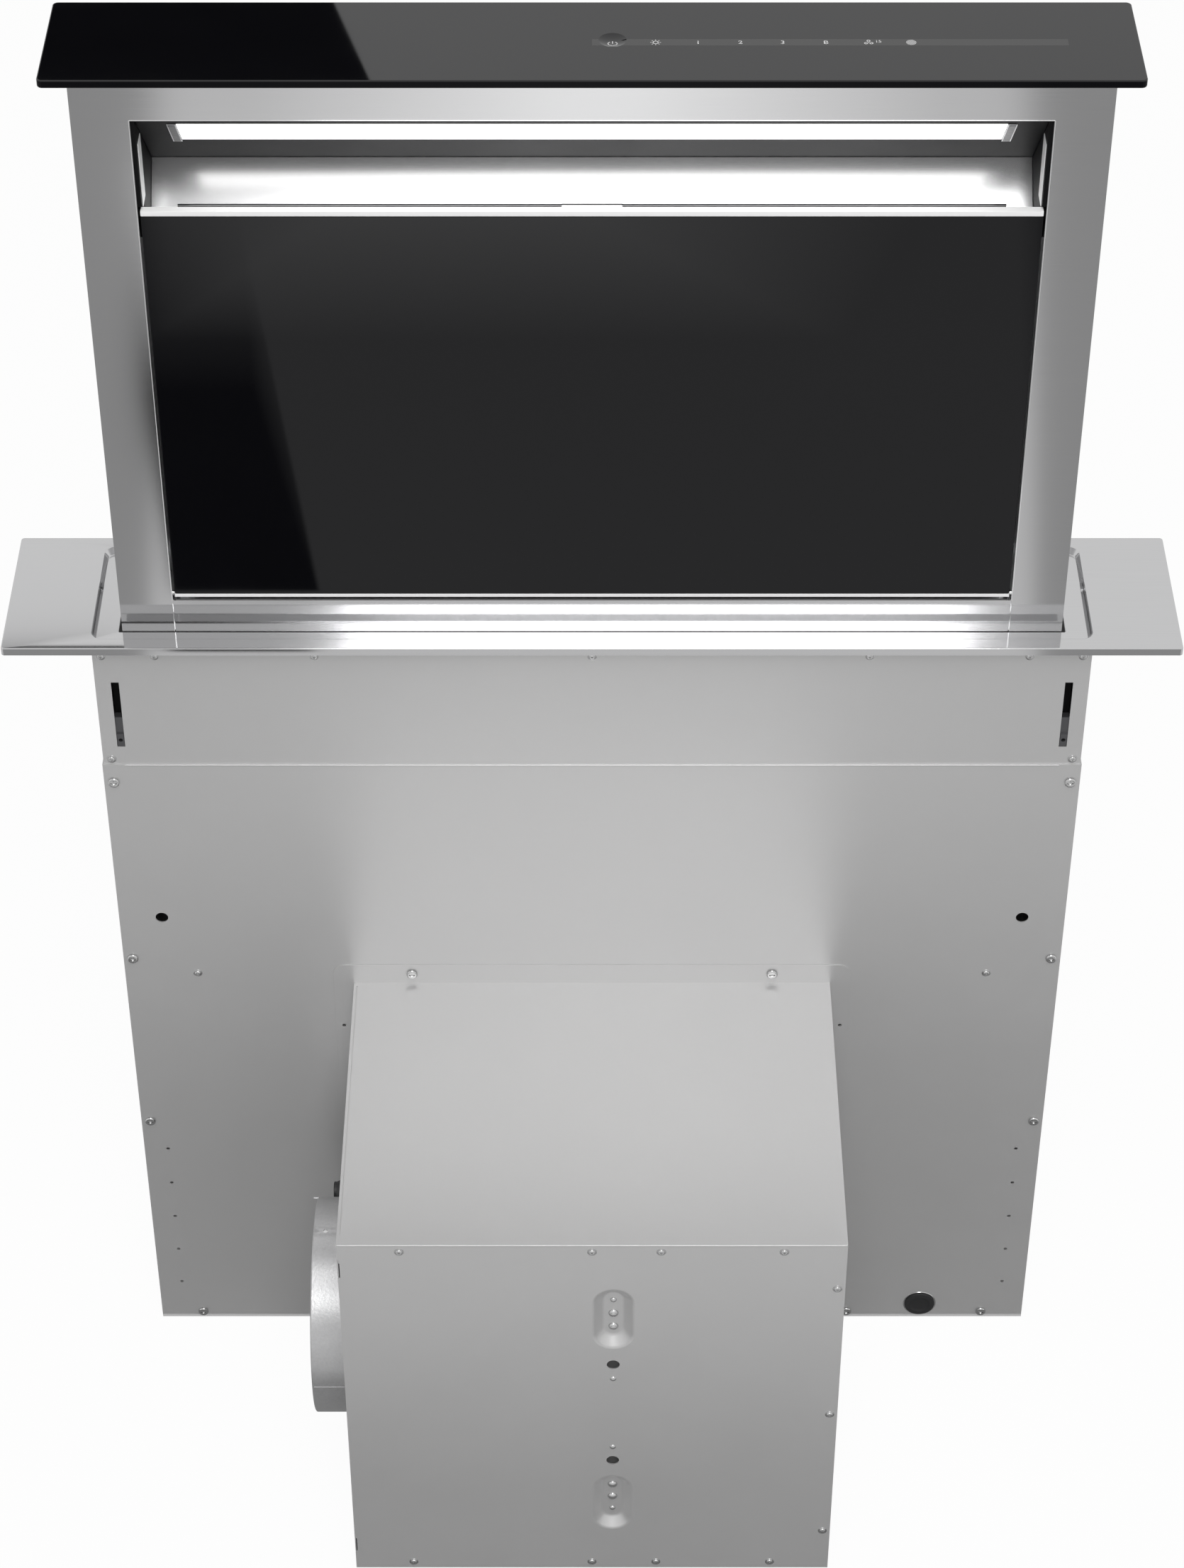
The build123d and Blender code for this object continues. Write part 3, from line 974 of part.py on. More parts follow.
with BuildPart() as control_board:
    slab((control_x[0] + BOARD_MARGIN, control_x[1] - BOARD_MARGIN), (board_back - BOARD_SHEET, board_back),
         (control_z[0] + BOARD_MARGIN, control_z[1] - BOARD_MARGIN))
save(control_board, "control_board")

# ================================================================ fasteners
with BuildPart() as rivets:
    for outward in (-1, 1):
        add_rivets(band_rivet_row + band_rivet_low, outward * band_depth, outward)
    add_rivets(stud_places, -half_depth, -1)
    add_rivets(box_rivets_row + box_rivets_side, BOX_FRONT, -1)
save(rivets, "rivets")

with BuildPart() as screws:
    for outward in (-1, 1):
        add_screws(edge_screws + pan_screws, outward * half_depth, outward)
    add_screws(flange_screws_at, -half_depth - FLANGE_SHEET, -1)
    add_screws(cover_screws_at, half_depth + FLANGE_SHEET, 1)
save(screws, "screws")

print(f"stroke {stroke:.1f}, lift shaft at z {shaft_z:.1f}, hinge at y {hinge_y:.1f}, fan at z {fan_z:.1f}")
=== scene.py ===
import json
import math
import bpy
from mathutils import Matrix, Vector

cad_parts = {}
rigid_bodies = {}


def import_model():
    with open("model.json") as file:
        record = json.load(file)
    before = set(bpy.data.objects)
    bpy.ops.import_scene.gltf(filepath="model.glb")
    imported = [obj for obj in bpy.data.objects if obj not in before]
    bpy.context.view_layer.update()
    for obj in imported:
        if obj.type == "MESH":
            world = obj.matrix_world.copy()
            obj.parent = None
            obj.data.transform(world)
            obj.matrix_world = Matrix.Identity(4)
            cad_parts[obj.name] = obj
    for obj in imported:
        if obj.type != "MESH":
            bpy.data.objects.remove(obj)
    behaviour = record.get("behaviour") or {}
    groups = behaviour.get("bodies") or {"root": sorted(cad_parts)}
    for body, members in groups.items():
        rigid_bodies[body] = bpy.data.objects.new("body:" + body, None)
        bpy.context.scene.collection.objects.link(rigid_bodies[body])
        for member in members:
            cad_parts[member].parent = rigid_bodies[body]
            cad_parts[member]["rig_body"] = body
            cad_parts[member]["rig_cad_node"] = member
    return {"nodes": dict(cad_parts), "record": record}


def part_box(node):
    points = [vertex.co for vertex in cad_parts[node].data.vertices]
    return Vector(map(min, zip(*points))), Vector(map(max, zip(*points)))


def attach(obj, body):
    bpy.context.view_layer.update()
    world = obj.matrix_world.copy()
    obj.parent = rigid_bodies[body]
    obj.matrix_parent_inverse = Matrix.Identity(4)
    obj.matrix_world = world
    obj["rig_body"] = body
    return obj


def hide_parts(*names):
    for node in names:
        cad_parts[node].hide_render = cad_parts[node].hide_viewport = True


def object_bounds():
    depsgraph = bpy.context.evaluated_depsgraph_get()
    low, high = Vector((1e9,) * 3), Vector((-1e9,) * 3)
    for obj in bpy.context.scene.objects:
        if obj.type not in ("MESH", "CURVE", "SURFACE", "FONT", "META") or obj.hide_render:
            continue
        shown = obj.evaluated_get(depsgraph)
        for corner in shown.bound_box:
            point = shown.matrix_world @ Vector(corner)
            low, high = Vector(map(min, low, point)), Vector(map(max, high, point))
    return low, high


bl_info = {
    "name": "Downdraft Vent",
    "version": (1, 0, 0),
    "blender": (4, 5, 0),
    "location": "View3D > Sidebar > Vent",
    "description": "Models and finishes a worktop extractor with its canopy raised",
    "category": "Object",
}

import bmesh
import bpy
from bpy.props import FloatProperty, FloatVectorProperty, IntProperty, PointerProperty
from mathutils import Matrix, Vector

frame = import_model()
nodes = frame["nodes"]
cad_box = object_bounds()

MM = 0.001
MERGE = 0.01 * MM      # points nearer than this are one
SLOTS = {row["node"]: row["material_slot"] for row in frame["record"]["subparts"]}
BODIES = {node: body for body, names in frame["record"]["behaviour"]["bodies"].items() for node in names}


# ---------------------------------------------------------------- sizes and colours
def length(name, millimetres, description):
    """A length in the panel, written here in millimetres."""
    return FloatProperty(name=name, description=description, default=millimetres * MM, unit="LENGTH",
                         precision=5)


def angle(name, degrees, description):
    """An angle in the panel, written here in degrees."""
    return FloatProperty(name=name, description=description, default=math.radians(degrees), subtype="ANGLE")


def colour(name, value, description):
    """A linear colour in the panel."""
    return FloatVectorProperty(name=name, description=description, default=value, size=3,
                               min=0.0, max=1.0, subtype="COLOR")


def amount(name, value, description):
    """A plain number in the panel."""
    return FloatProperty(name=name, description=description, default=value, subtype="FACTOR", max=100.0)


class VentSizes(bpy.types.PropertyGroup):
    """Sizes of the details that the frame leaves plain."""

    fold: length("Sheet fold", 0.45, "Rounding of the edges of thin sheet")
    box_fold: length("Box fold", 0.7, "Rounding of the blower box's edges")
    seam: length("Seam", 0.8, "Width and depth of the seams beside the sill")
    hem: length("Hem", 1.3, "Height of the hem along the folds of the housing")
    hem_end: length("Hem end", 17.0, "How far the hem ends before the housing's side")
    window_top: length("Window top", 438.5, "Height of the window's upper edge above the worktop")
    rim_line: length("Window rim", 0.6, "Width of the rim round the window")
    lens_end: length("Lens end", 6.5, "Length of the end caps of the lens")
    return_depth: length("Window return", 15.0, "Depth of the bright returns beside the window")
    tab_slot: length("Tab slot", 1.7, "Width of the tab slots at the box's left edge")
    tab_height: length("Tab slot height", 16.0, "Height of a tab slot")
    tab_upper: length("Upper tab slot", -376.0, "Height of the upper tab slot's middle")
    tab_lower: length("Lower tab slot", -703.5, "Height of the lower tab slot's middle")
    seam_gap: length("Seam gap", 1.6, "From the tilting glass to the post")
    ledge_inset: length("Ledge inset", 25.0, "How far the ledge behind the glass ends before the glass")
    plate_corner: length("Plate corner", 2.5, "Corner radius of the cover plate")
    cap_gap: length("Cap gap", 1.0, "From the closed cap to the foot of the recess wall")
    slot_gap: length("Slot gap", 3.0, "From the canopy's side to the end of the slot")
    slot_depth: length("Slot depth", 85.6, "Size of the slot from front to back")
    plate_rim: length("Plate rim", 0.9, "Rounding of the cover plate's outer rim")
    recess_slope: length("Recess slope", 2.5, "How far the recess wall leans outwards")
    recess_corner: length("Recess corner", 6.0, "Corner radius of the recess")
    slot_corner: length("Slot corner", 1.2, "Corner radius of the slot in the plate")
    press_radius: length("Pressing radius", 0.7, "Rounding where the pressed sheet turns")
    sheet: length("Plate sheet", 1.2, "Thickness of the cover plate's sheet")
    cap_corner: length("Cap corner", 4.0, "Corner radius of the glass cap")
    cap_edge: length("Cap edge", 0.8, "Ground edge of the glass cap")
    print_height: length("Print", 0.05, "Thickness of the printed symbols")
    symbol_line: length("Symbol line", 0.65, "Line width of the printed symbols")
    symbol_size: length("Symbol size", 6.3, "Letter size of the printed numbers")
    symbol_y: length("Symbol row", -2.4, "Place of the symbol row from front to back")
    strip_length: length("Touch strip length", 322.0, "Length of the tinted strip under the symbols")
    strip_height: length("Touch strip height", 8.8, "Height of the tinted strip under the symbols")
    dot_x: length("Dot place", 215.8, "Place of the printed dot")
    dot_radius: length("Dot radius", 3.5, "Radius of the printed dot")
    dish_x: length("Dish place", 13.9, "Place of the hollow round the power key")
    dish_radius: length("Finger dish", 9.5, "Radius of the hollow round the power key")
    dish_depth: length("Dish depth", 1.3, "Depth of the hollow round the power key")
    dish_back: length("Dish offset", 3.4, "How far the hollow's middle lies behind the symbol row")
    screw_dome: length("Screw dome", 1.2, "Rounding of a screw's head")
    cross_width: length("Cross width", 1.1, "Width of a screw's cross recess")
    cross_depth: length("Cross depth", 1.3, "Depth of a screw's cross recess")
    pocket_pitch: length("Pocket pitch", 219.0, "Distance between the two pressed pockets")
    pocket_depth: length("Pocket depth", 6.7, "Depth of the pressed pockets")
    pocket_shoulder: length("Pocket shoulder", 1.6, "Rounding of the pockets' edges")
    bolt_pitch: length("Bolt pitch", 15.0, "Distance between the heads in a pocket")
    bolt_head: length("Bolt head", 3.9, "Radius of the heads in the pockets")
    stud_head: length("Stud head", 2.5, "Radius of the small heads on the box's front")
    stud_offset: length("Stud offset", 40.8, "Height of the small heads from the fan's axis")
    collar_flange: length("Collar flange", 8.0, "How far the flange stands out from the collar's tube")
    collar_wall: length("Collar wall", 2.5, "Thickness of the collar's tube")
    collar_rib: length("Collar rib", 0.9, "Width of the rib along the collar")
    catch_turn: angle("Catch turn", -48.0, "Place of the duct's catch round the collar's mouth")
    steps: IntProperty(name="Corner steps", description="Points on a rounded corner", default=7,
                       min=2, max=24)


class VentColours(bpy.types.PropertyGroup):
    """Colours of the finishes."""

    steel: colour("Steel", (0.56, 0.56, 0.565), "Brushed stainless sheet")
    zinc: colour("Zinc", (0.58, 0.578, 0.578), "Zinc-coated sheet of the housing")
    # Carrier also colours the window returns, where its near-white is a painted highlight on steel.
    carrier: colour("Carrier", (0.95, 0.95, 0.95), "Bright edge strip of the tilting glass")
    strip: colour("Touch strip", (0.034, 0.034, 0.034), "Tinted strip under the symbols")
    glass: colour("Glass", (0.004, 0.004, 0.005), "Black back-printed glass")
    printed: colour("Print", (0.72, 0.72, 0.72), "Printed symbols")
    moulding: colour("Moulding", (0.007, 0.007, 0.0075), "Black moulded trim")
    rubber: colour("Rubber", (0.016, 0.016, 0.017), "Seals, belts and the grommet")
    lamp: colour("Lamp", (1.0, 0.995, 0.985), "Light from the diffuser")
    bright_zinc: colour("Bright zinc", (0.55, 0.55, 0.55), "Rivets, screws and pins")
    casting: colour("Casting", (0.50, 0.50, 0.505), "Cast exhaust collar")
    aluminium: colour("Aluminium", (0.60, 0.60, 0.61), "Filters and rails")
    plated: colour("Plated block", (0.10, 0.10, 0.105), "Clamp blocks in the slots")
    plastic: colour("Dark plastic", (0.02, 0.02, 0.021), "Flaps, pulleys and the cable gland")
    paint: colour("Motor paint", (0.05, 0.05, 0.055), "Motor casings")
    board: colour("Board", (0.012, 0.10, 0.045), "Circuit boards")


class VentStage(bpy.types.PropertyGroup):
    """Camera, floor and lamps."""

    camera_y: length("Camera distance", -2260.7, "Camera place in front of the slot")
    camera_z: length("Camera height", 1739.6, "Camera height above the worktop")
    camera_tilt: angle("Camera tilt", 40.4, "How far the camera looks down")
    camera_lens: FloatProperty(name="Lens", description="Focal length on a 36 mm sensor", default=86.22,
                               unit="CAMERA")
    floor_size: length("Floor", 24000.0, "Side of the floor")
    floor_white: amount("Floor white", 0.96, "Share of plain white in the floor as the camera sees it")
    floor_gloss: amount("Floor in metal", 0.80, "Brightness of the floor as metal and glass show it")
    room_gloss: amount("Room in metal", 0.96, "Brightness of the room as metal and glass show it")
    room_light: amount("Room light", 0.42, "Brightness of the room as it lights the object")
    key_power: FloatProperty(name="Key lamp", description="Power of the lamp above the camera", default=26.0,
                             unit="POWER")
    top_power: FloatProperty(name="Top lamp", description="Power of the large lamp overhead", default=44.0,
                             unit="POWER")
    lamp_glow: amount("Vent light", 1.5, "Strength of the vent's own light")


# ---------------------------------------------------------------- modelling by hand, in code
def deselect():
    """Leaves edit mode and selects nothing."""
    if bpy.context.object and bpy.context.object.mode != "OBJECT":
        bpy.ops.object.mode_set(mode="OBJECT")
    bpy.ops.object.select_all(action="DESELECT")


def activate(piece):
    """Selects one piece alone."""
    deselect()
    piece.select_set(True)
    bpy.context.view_layer.objects.active = piece


def settle(piece):
    """Moves a piece's place, turn and size into its mesh."""
    activate(piece)
    bpy.ops.object.transform_apply(location=True, rotation=True, scale=True)
    return piece


def choose(piece, kind, test):
    """Edit mode with what passes the test selected: a face by middle and normal, an edge by middle and
    direction, a point by place and index."""
    activate(piece)
    bpy.ops.object.mode_set(mode="EDIT")
    bpy.ops.mesh.select_mode(type=kind)
    bpy.ops.mesh.select_all(action="DESELECT")
    form = bmesh.from_edit_mesh(piece.data)
    if kind == "FACE":
        for face in form.faces:
            face.select_set(bool(test(face.calc_center_median(), face.normal)))
    elif kind == "EDGE":
        for edge in form.edges:
            a, b = (point.co for point in edge.verts)
            edge.select_set(bool(test((a + b) / 2, (b - a).normalized())))
    else:
        for point in form.verts:
            point.select_set(bool(test(point.co, point.index)))
    form.select_flush_mode()
    bmesh.update_edit_mesh(piece.data)


def apply_modifier(piece, kind, **settings):
    """Adds a modifier with these settings and applies it."""
    activate(piece)
    modifier = piece.modifiers.new(kind, kind)
    for key, value in settings.items():
        setattr(modifier, key, value)
    bpy.ops.object.modifier_apply(modifier=modifier.name)
    return piece


def add(kind, name=None, scale=(1, 1, 1), **settings):
    """Adds a primitive with nothing else selected, and moves its place and size into its mesh."""
    deselect()
    getattr(bpy.ops.mesh, "primitive_" + kind + "_add")(**settings)
    piece = bpy.context.object
    piece.name = name or piece.name
    piece.scale = scale
    return settle(piece)


def put(piece, place, turn, axis="X"):
    """Turns a piece about an axis through the origin, moves it to its place and settles it."""
    piece.matrix_world = Matrix.Translation(place) @ Matrix.Rotation(turn, 4, axis)
    return settle(piece)


def new_block(name, first, second):
    """A block between two opposite corners."""
    first, second = Vector(first), Vector(second)
    return add("cube", name, [abs(side) for side in second - first], size=1, location=(first + second) / 2)


def new_rod(name, centre, radius, depth, sides=48):
    """A cylinder along Z about a centre."""
    return add("cylinder", name, vertices=sides, radius=radius, depth=depth, location=centre)


def join(pieces, name):
    """Joins pieces in order into one mesh, so the first one's points stay first."""
    for piece in pieces[1:]:
        activate(pieces[0])
        piece.select_set(True)
        bpy.ops.object.join()
    pieces[0].name = name
    return pieces[0]


def drop(piece):
    """Deletes a cutter or a pattern piece."""
    activate(piece)
    bpy.ops.object.delete()


def cut(piece, *cutters):
    """Takes cutters out of a piece and deletes them."""
    for cutter in cutters:
        apply_modifier(piece, "BOOLEAN", operation="DIFFERENCE", object=cutter, solver="EXACT")
        drop(cutter)
    return piece


def smooth(piece, limit=35.0):
    """Smooths what is nearly level, and keeps large flat faces flat up to their rounded edges."""
    activate(piece)
    bpy.ops.object.shade_smooth_by_angle(angle=math.radians(limit))
    return apply_modifier(piece, "WEIGHTED_NORMAL", keep_sharp=True, weight=100)


def round_edges(piece, width, segments=2):
    """Rounds the sharp edges."""
    apply_modifier(piece, "BEVEL", width=width, segments=segments, limit_method="ANGLE",
                   angle_limit=math.radians(30.0), use_clamp_overlap=True)
    return smooth(piece, 40.0)


QUARTERS = [(right, back) for right in (-1, 1) for back in (-1, 1)]


def skin(name, rings, steps, closed=(False, False), front=None):
    """A skin through outlines of (width, height, corner, level), each extruded from the one before.

    An outline is a circle whose quarters are moved apart. Closed says which ends are filled. With front,
    a place (x, y, z), the outlines face the front there, and the level is how far they lie before it."""
    count = 4 * steps
    width, height, corner, level = rings[0]
    piece = add("circle", name, vertices=count, radius=corner / math.cos(math.pi / count),
                location=(0, 0, level), rotation=(0, 0, math.pi / count))
    centres = {quarter: Vector((0, 0, level)) for quarter in QUARTERS}
    for step, (width, height, radius, level) in enumerate(rings):
        if step:
            choose(piece, "VERT", lambda place, index: index >= count * (step - 1))
            bpy.ops.mesh.extrude_region_move()
        for right, back in QUARTERS:
            old = centres[right, back]
            new = Vector((right * (width / 2 - radius), back * (height / 2 - radius), level))
            choose(piece, "VERT", lambda place, index: index >= count * step and place.x * right > 0 and
                   place.y * back > 0)
            bpy.ops.transform.resize(value=(radius / corner, radius / corner, 1), center_override=old)
            bpy.ops.transform.translate(value=new - old)
            centres[right, back] = new
        corner = radius
    for filled, ring in zip(closed, (0, len(rings) - 1)):
        if filled:
            choose(piece, "VERT", lambda place, index: index // count == ring)
            bpy.ops.mesh.edge_face_add()
    choose(piece, "FACE", lambda middle, normal: True)
    bpy.ops.mesh.normals_make_consistent(inside=False)
    deselect()
    return put(piece, front, math.pi / 2) if front else piece


def spin_outline(name, outline, centre, axis, steps=96):
    """Turns an outline, drawn point by point, all the way round an axis through the centre."""
    piece = add("plane", name, size=MM, location=outline[0])
    choose(piece, "VERT", lambda place, index: True)
    bpy.ops.mesh.merge(type="CENTER")
    for start, end in zip(outline, outline[1:]):
        bpy.ops.mesh.extrude_region_move(TRANSFORM_OT_translate={"value": Vector(end) - Vector(start)})
    bpy.ops.mesh.select_all(action="SELECT")
    bpy.ops.mesh.spin(steps=steps, angle=2 * math.pi, center=centre, axis=axis)
    bpy.ops.mesh.select_all(action="SELECT")
    bpy.ops.mesh.remove_doubles(threshold=MERGE)
    bpy.ops.mesh.normals_make_consistent(inside=False)
    deselect()
    return smooth(piece)


def dome(name, radius, height, centre, steps=10):
    """A rounded head that faces the front; its flat back is at the centre."""
    centre = Vector(centre)
    turns = [math.pi / 2 * step / steps for step in range(steps + 1)]
    outline = [centre + Vector((radius * math.sin(turn), -height * math.cos(turn), 0)) for turn in turns]
    return spin_outline(name, outline + [centre], centre, (0, 1, 0), 32)


def seat(piece, finish, *stands_for, body=None, slot=None):
    """Gives a finished piece its finish and body, and hides the nodes that it stands for. The slot is not
    used.
    """
    piece.data.materials.clear()
    piece.data.materials.append(finish)
    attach(piece, body or BODIES[stands_for[0]])
    if stands_for:
        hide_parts(*stands_for)
    deselect()
    return piece


def rounded_copy(node, width):
    """A copy of a frame node with its points merged, its flat faces whole and its edges rounded."""
    activate(nodes[node])
    bpy.ops.object.duplicate()
    piece = bpy.context.object
    piece.parent = None
    piece.name = node + "_finished"
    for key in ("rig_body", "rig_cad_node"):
        if key in piece:
            del piece[key]
    choose(piece, "FACE", lambda middle, normal: True)
    bpy.ops.mesh.remove_doubles(threshold=MERGE)
    bpy.ops.mesh.dissolve_limited(angle_limit=math.radians(0.5))
    bpy.ops.object.mode_set(mode="OBJECT")
    activate(piece)
    bpy.ops.mesh.customdata_custom_splitnormals_clear()
    return round_edges(piece, width) if width else piece


def refine(width, *names):
    """Puts a rounded copy in the place of each of these nodes."""
    for node in names:
        seat(rounded_copy(node, width), finishes[SLOTS[node]], node)


def trim(name, blocks, fold, finish, body, slot, segments=2, place=None, turn=0.0):
    """Small trim of rounded blocks, each between two corners, turned about X and moved to a place."""
    piece = join([new_block(name, *corners) for corners in blocks], name)
    if place:
        put(piece, place, turn)
    return seat(round_edges(piece, fold, segments), finish, body=body, slot=slot)


def loose_parts(node):
    """The lowest and highest corners of each separate solid of a node."""
    form = bmesh.new()
    form.from_mesh(nodes[node].data)
    bmesh.ops.remove_doubles(form, verts=form.verts, dist=MERGE)
    seen, parts = set(), []
    for start in form.verts:
        if start in seen:
            continue
        seen.add(start)
        heap, places = [start], []
        while heap:
            point = heap.pop()
            places.append(point.co.copy())
            for edge in point.link_edges:
                other = edge.other_vert(point)
                if other not in seen:
                    seen.add(other)
                    heap.append(other)
        parts.append((Vector(map(min, *places)), Vector(map(max, *places))))
    form.free()
    return parts


# ---------------------------------------------------------------- finishes
class Value:
    """A shader socket that takes part in sums written in Python."""

    def __init__(self, tree, socket):
        self.tree = tree
        self.socket = socket

    def maths(self, operation, other):
        return self.tree.node("ShaderNodeMath", {"operation": operation}, {0: self, 1: other})

    def __add__(self, other):
        return self.maths("ADD", other)

    def __mul__(self, other):
        return self.maths("MULTIPLY", other)

    def __sub__(self, other):
        return self.maths("SUBTRACT", other)

    def __rsub__(self, other):
        return self.tree.node("ShaderNodeMath", {"operation": "SUBTRACT"}, {0: other, 1: self})

    __radd__ = __add__
    __rmul__ = __mul__


class ShaderTree:
    """The nodes of a material or of the world, with one method that adds any node."""

    def __init__(self, owner):
        owner.use_nodes = True
        self.nodes = owner.node_tree.nodes
        self.links = owner.node_tree.links

    def feed(self, socket, value):
        """Links a value to a socket, or sets the socket."""
        if isinstance(value, Value):
            self.links.new(value.socket, socket)
        elif hasattr(value, "__len__") and len(value) == 3 and socket.type == "RGBA":
            socket.default_value = (*value, 1.0)
        else:
            socket.default_value = value

    def node(self, kind, settings=None, inputs=None, output=0):
        """Adds a node: its settings first, then the values or links of its sockets."""
        made = self.nodes.new(kind)
        for key, value in (settings or {}).items():
            setattr(made, key, value)
        for key, value in (inputs or {}).items():
            self.feed(made.inputs[key], value)
        return Value(self, made.outputs[output])

    def white(self, kind, strength):
        """A white emission or background."""
        return self.node(kind, {}, {"Color": (1, 1, 1), "Strength": strength})

    def rays(self):
        """Whether a ray comes from the camera, and whether from gloss."""
        return [self.node("ShaderNodeLightPath", output=kind) for kind in ("Is Camera Ray", "Is Glossy Ray")]

    def mix(self, share, first, second):
        """One shader over another."""
        return self.node("ShaderNodeMixShader", {}, {0: share, 1: first, 2: second})

    def show(self, shader, output="Material Output"):
        """Makes a shader the one that is seen."""
        self.feed(self.nodes[output].inputs["Surface"], shader)


class Finish(ShaderTree):
    """A material on one Principled shader."""

    def __init__(self, name, **constants):
        self.material = bpy.data.materials.new(name)
        super().__init__(self.material)
        self.shader = self.nodes["Principled BSDF"]
        for key, value in constants.items():
            self.set(key, value)

    def set(self, key, value):
        """Sets or links one of the shader's sockets, named with underscores."""
        self.feed(self.shader.inputs[key.replace("_", " ")], value)

    def place(self, stretch=(1, 1, 1)):
        """Object coordinates, stretched."""
        spot = self.node("ShaderNodeTexCoord", output="Object")
        return self.node("ShaderNodeMapping", {}, {"Vector": spot, "Scale": stretch})

    def noise(self, stretch, scale, detail=2.0, roughness=0.5):
        """Cloud noise from 0 to 1."""
        return self.node("ShaderNodeTexNoise", {}, {"Vector": self.place(stretch), "Scale": scale,
                                                    "Detail": detail, "Roughness": roughness})

    def blend(self, share, first, second):
        """A colour between two colours."""
        colours = {"Factor": share, 6: first, 7: second}
        return self.node("ShaderNodeMix", {"data_type": "RGBA"}, colours, output=2)

    def vary(self, share, base, darker, lighter):
        """Base colour between two shades of one colour."""
        self.set("Base_Color", self.blend(share, shade(base, darker), shade(base, lighter)))

    def relief(self, height, depth, strength):
        """Bump of a height field, as deep as this in metres, on the shader's normal."""
        self.set("Normal", self.node("ShaderNodeBump", {}, {"Height": height, "Distance": depth,
                                                            "Strength": strength}))


def shade(base, factor):
    """A colour made lighter or darker."""
    return tuple(min(1.0, part * factor) for part in base)


def brushed_steel(base):
    """Stainless sheet with fine lines along X."""
    finish = Finish("brushed_steel", Metallic=1.0)
    lines = finish.noise((3.0, 420.0, 420.0), 6.0, 3.0, 0.6)
    clouds = finish.noise((1, 1, 1), 5.0)
    finish.vary(lines * 0.8 + clouds * 0.2, base, 0.95, 1.04)
    finish.set("Roughness", lines * 0.03 + clouds * 0.02 + 0.055)
    finish.relief(lines, 0.0015 * MM, 0.3)
    return finish.material


def zinc_sheet(base):
    """Satin zinc coating with a faint mottle and fine grain."""
    finish = Finish("zinc_sheet", Metallic=0.55)
    mottle = finish.noise((1, 1, 1), 9.0, 4.0, 0.6)
    grain = finish.noise((1, 1, 1), 1400.0, 2.0, 0.6)
    finish.vary(mottle * 0.6 + grain * 0.4, base, 0.95, 1.05)
    finish.set("Roughness", mottle * 0.08 + grain * 0.04 + 0.33)
    finish.relief(grain, 0.01 * MM, 0.35)
    return finish.material


def black_glass(name, base, level, metallic=0.0):
    """Polished back-printed glass with a trace of wiping marks; level is its specular level."""
    finish = Finish(name, Specular_IOR_Level=level, Metallic=metallic)
    marks = finish.noise((1, 2.5, 1), 14.0, 4.0, 0.65)
    finish.vary(marks, base, 0.9, 1.1)
    finish.set("Roughness", marks * 0.02 + 0.015)
    return finish.material


def satin_sheet(base, roughness):
    """Evenly blasted sheet with a faint cloud and no grain."""
    finish = Finish("satin_sheet", Metallic=1.0, Roughness=roughness)
    finish.vary(finish.noise((1, 1, 1), 9.0), base, 0.97, 1.03)
    return finish.material


def hatched_print(base):
    """Fine slanting lines of print on black glass."""
    finish = Finish("hatched_print", Roughness=0.4)
    lines = finish.node("ShaderNodeTexWave", {"bands_direction": "DIAGONAL"},
                        {"Vector": finish.place(), "Scale": 420.0}, output=1)
    finish.vary(lines, base, 0.16, 0.95)
    return finish.material


def plain_finish(name, base, roughness, metallic, grain_scale, grain_depth, variation=0.12, level=0.5):
    """A finish with a fine grain, for mouldings, rubber, paint, castings and plated parts."""
    finish = Finish(name, Metallic=metallic, Specular_IOR_Level=level)
    grain = finish.noise((1, 1, 1), grain_scale, 3.0, 0.6)
    clouds = finish.noise((1, 1, 1), 22.0)
    finish.vary(grain * 0.5 + clouds * 0.5, base, 1 - variation, 1 + variation)
    finish.set("Roughness", grain * 0.08 + clouds * 0.05 + roughness)
    finish.relief(grain, grain_depth * MM, 0.6)
    return finish.material


def glowing_lens(base, strength):
    """Frosted diffuser with a faint ripple in its light."""
    finish = Finish("glowing_lens", Emission_Strength=strength, Roughness=0.4, Base_Color=(0.9, 0.9, 0.9))
    ripple = finish.noise((1, 1, 1), 60.0)
    finish.set("Emission_Color", finish.blend(ripple, shade(base, 0.97), base))
    return finish.material


# Slot: name, colour, roughness, metallic, scale and depth in mm of the grain, variation, specular level
PLAIN_FINISHES = {
    "black_trim": ("black_moulding", "moulding", 0.42, 0.0, 900.0, 0.02, 0.12, 0.05),
    "rubber": ("rubber", "rubber", 0.62, 0.0, 700.0, 0.03),
    "filter_mesh": ("filter_sheet", "aluminium", 0.34, 1.0, 500.0, 0.01, 0.06),
    "fastener": ("bright_zinc", "bright_zinc", 0.13, 1.0, 600.0, 0.004, 0.06),
    "cast": ("cast_collar", "casting", 0.26, 0.6, 420.0, 0.16, 0.24),
    "flap_plastic": ("dark_plastic", "plastic", 0.38, 0.0, 800.0, 0.02),
    "rail": ("drawn_rail", "aluminium", 0.28, 1.0, 300.0, 0.006, 0.05),
    "clamp": ("plated_block", "plated", 0.35, 0.6, 500.0, 0.01),
    "motor": ("motor_paint", "paint", 0.45, 0.1, 600.0, 0.03),
    "board": ("circuit_board", "board", 0.35, 0.0, 300.0, 0.02, 0.25),
}


def make_finishes(colours, stage):
    """Every finish of the object, by the record's slot names."""
    made = {slot: plain_finish(name, getattr(colours, colour), *numbers)
            for slot, (name, colour, *numbers) in PLAIN_FINISHES.items()}
    made["steel"] = brushed_steel(colours.steel)
    made["galvanised"] = zinc_sheet(colours.zinc)
    made["black_glass"] = black_glass("black_glass", colours.glass, 0.5)
    made["lens"] = glowing_lens(tuple(colours.lamp), stage.lamp_glow)
    return made


finishes = {}


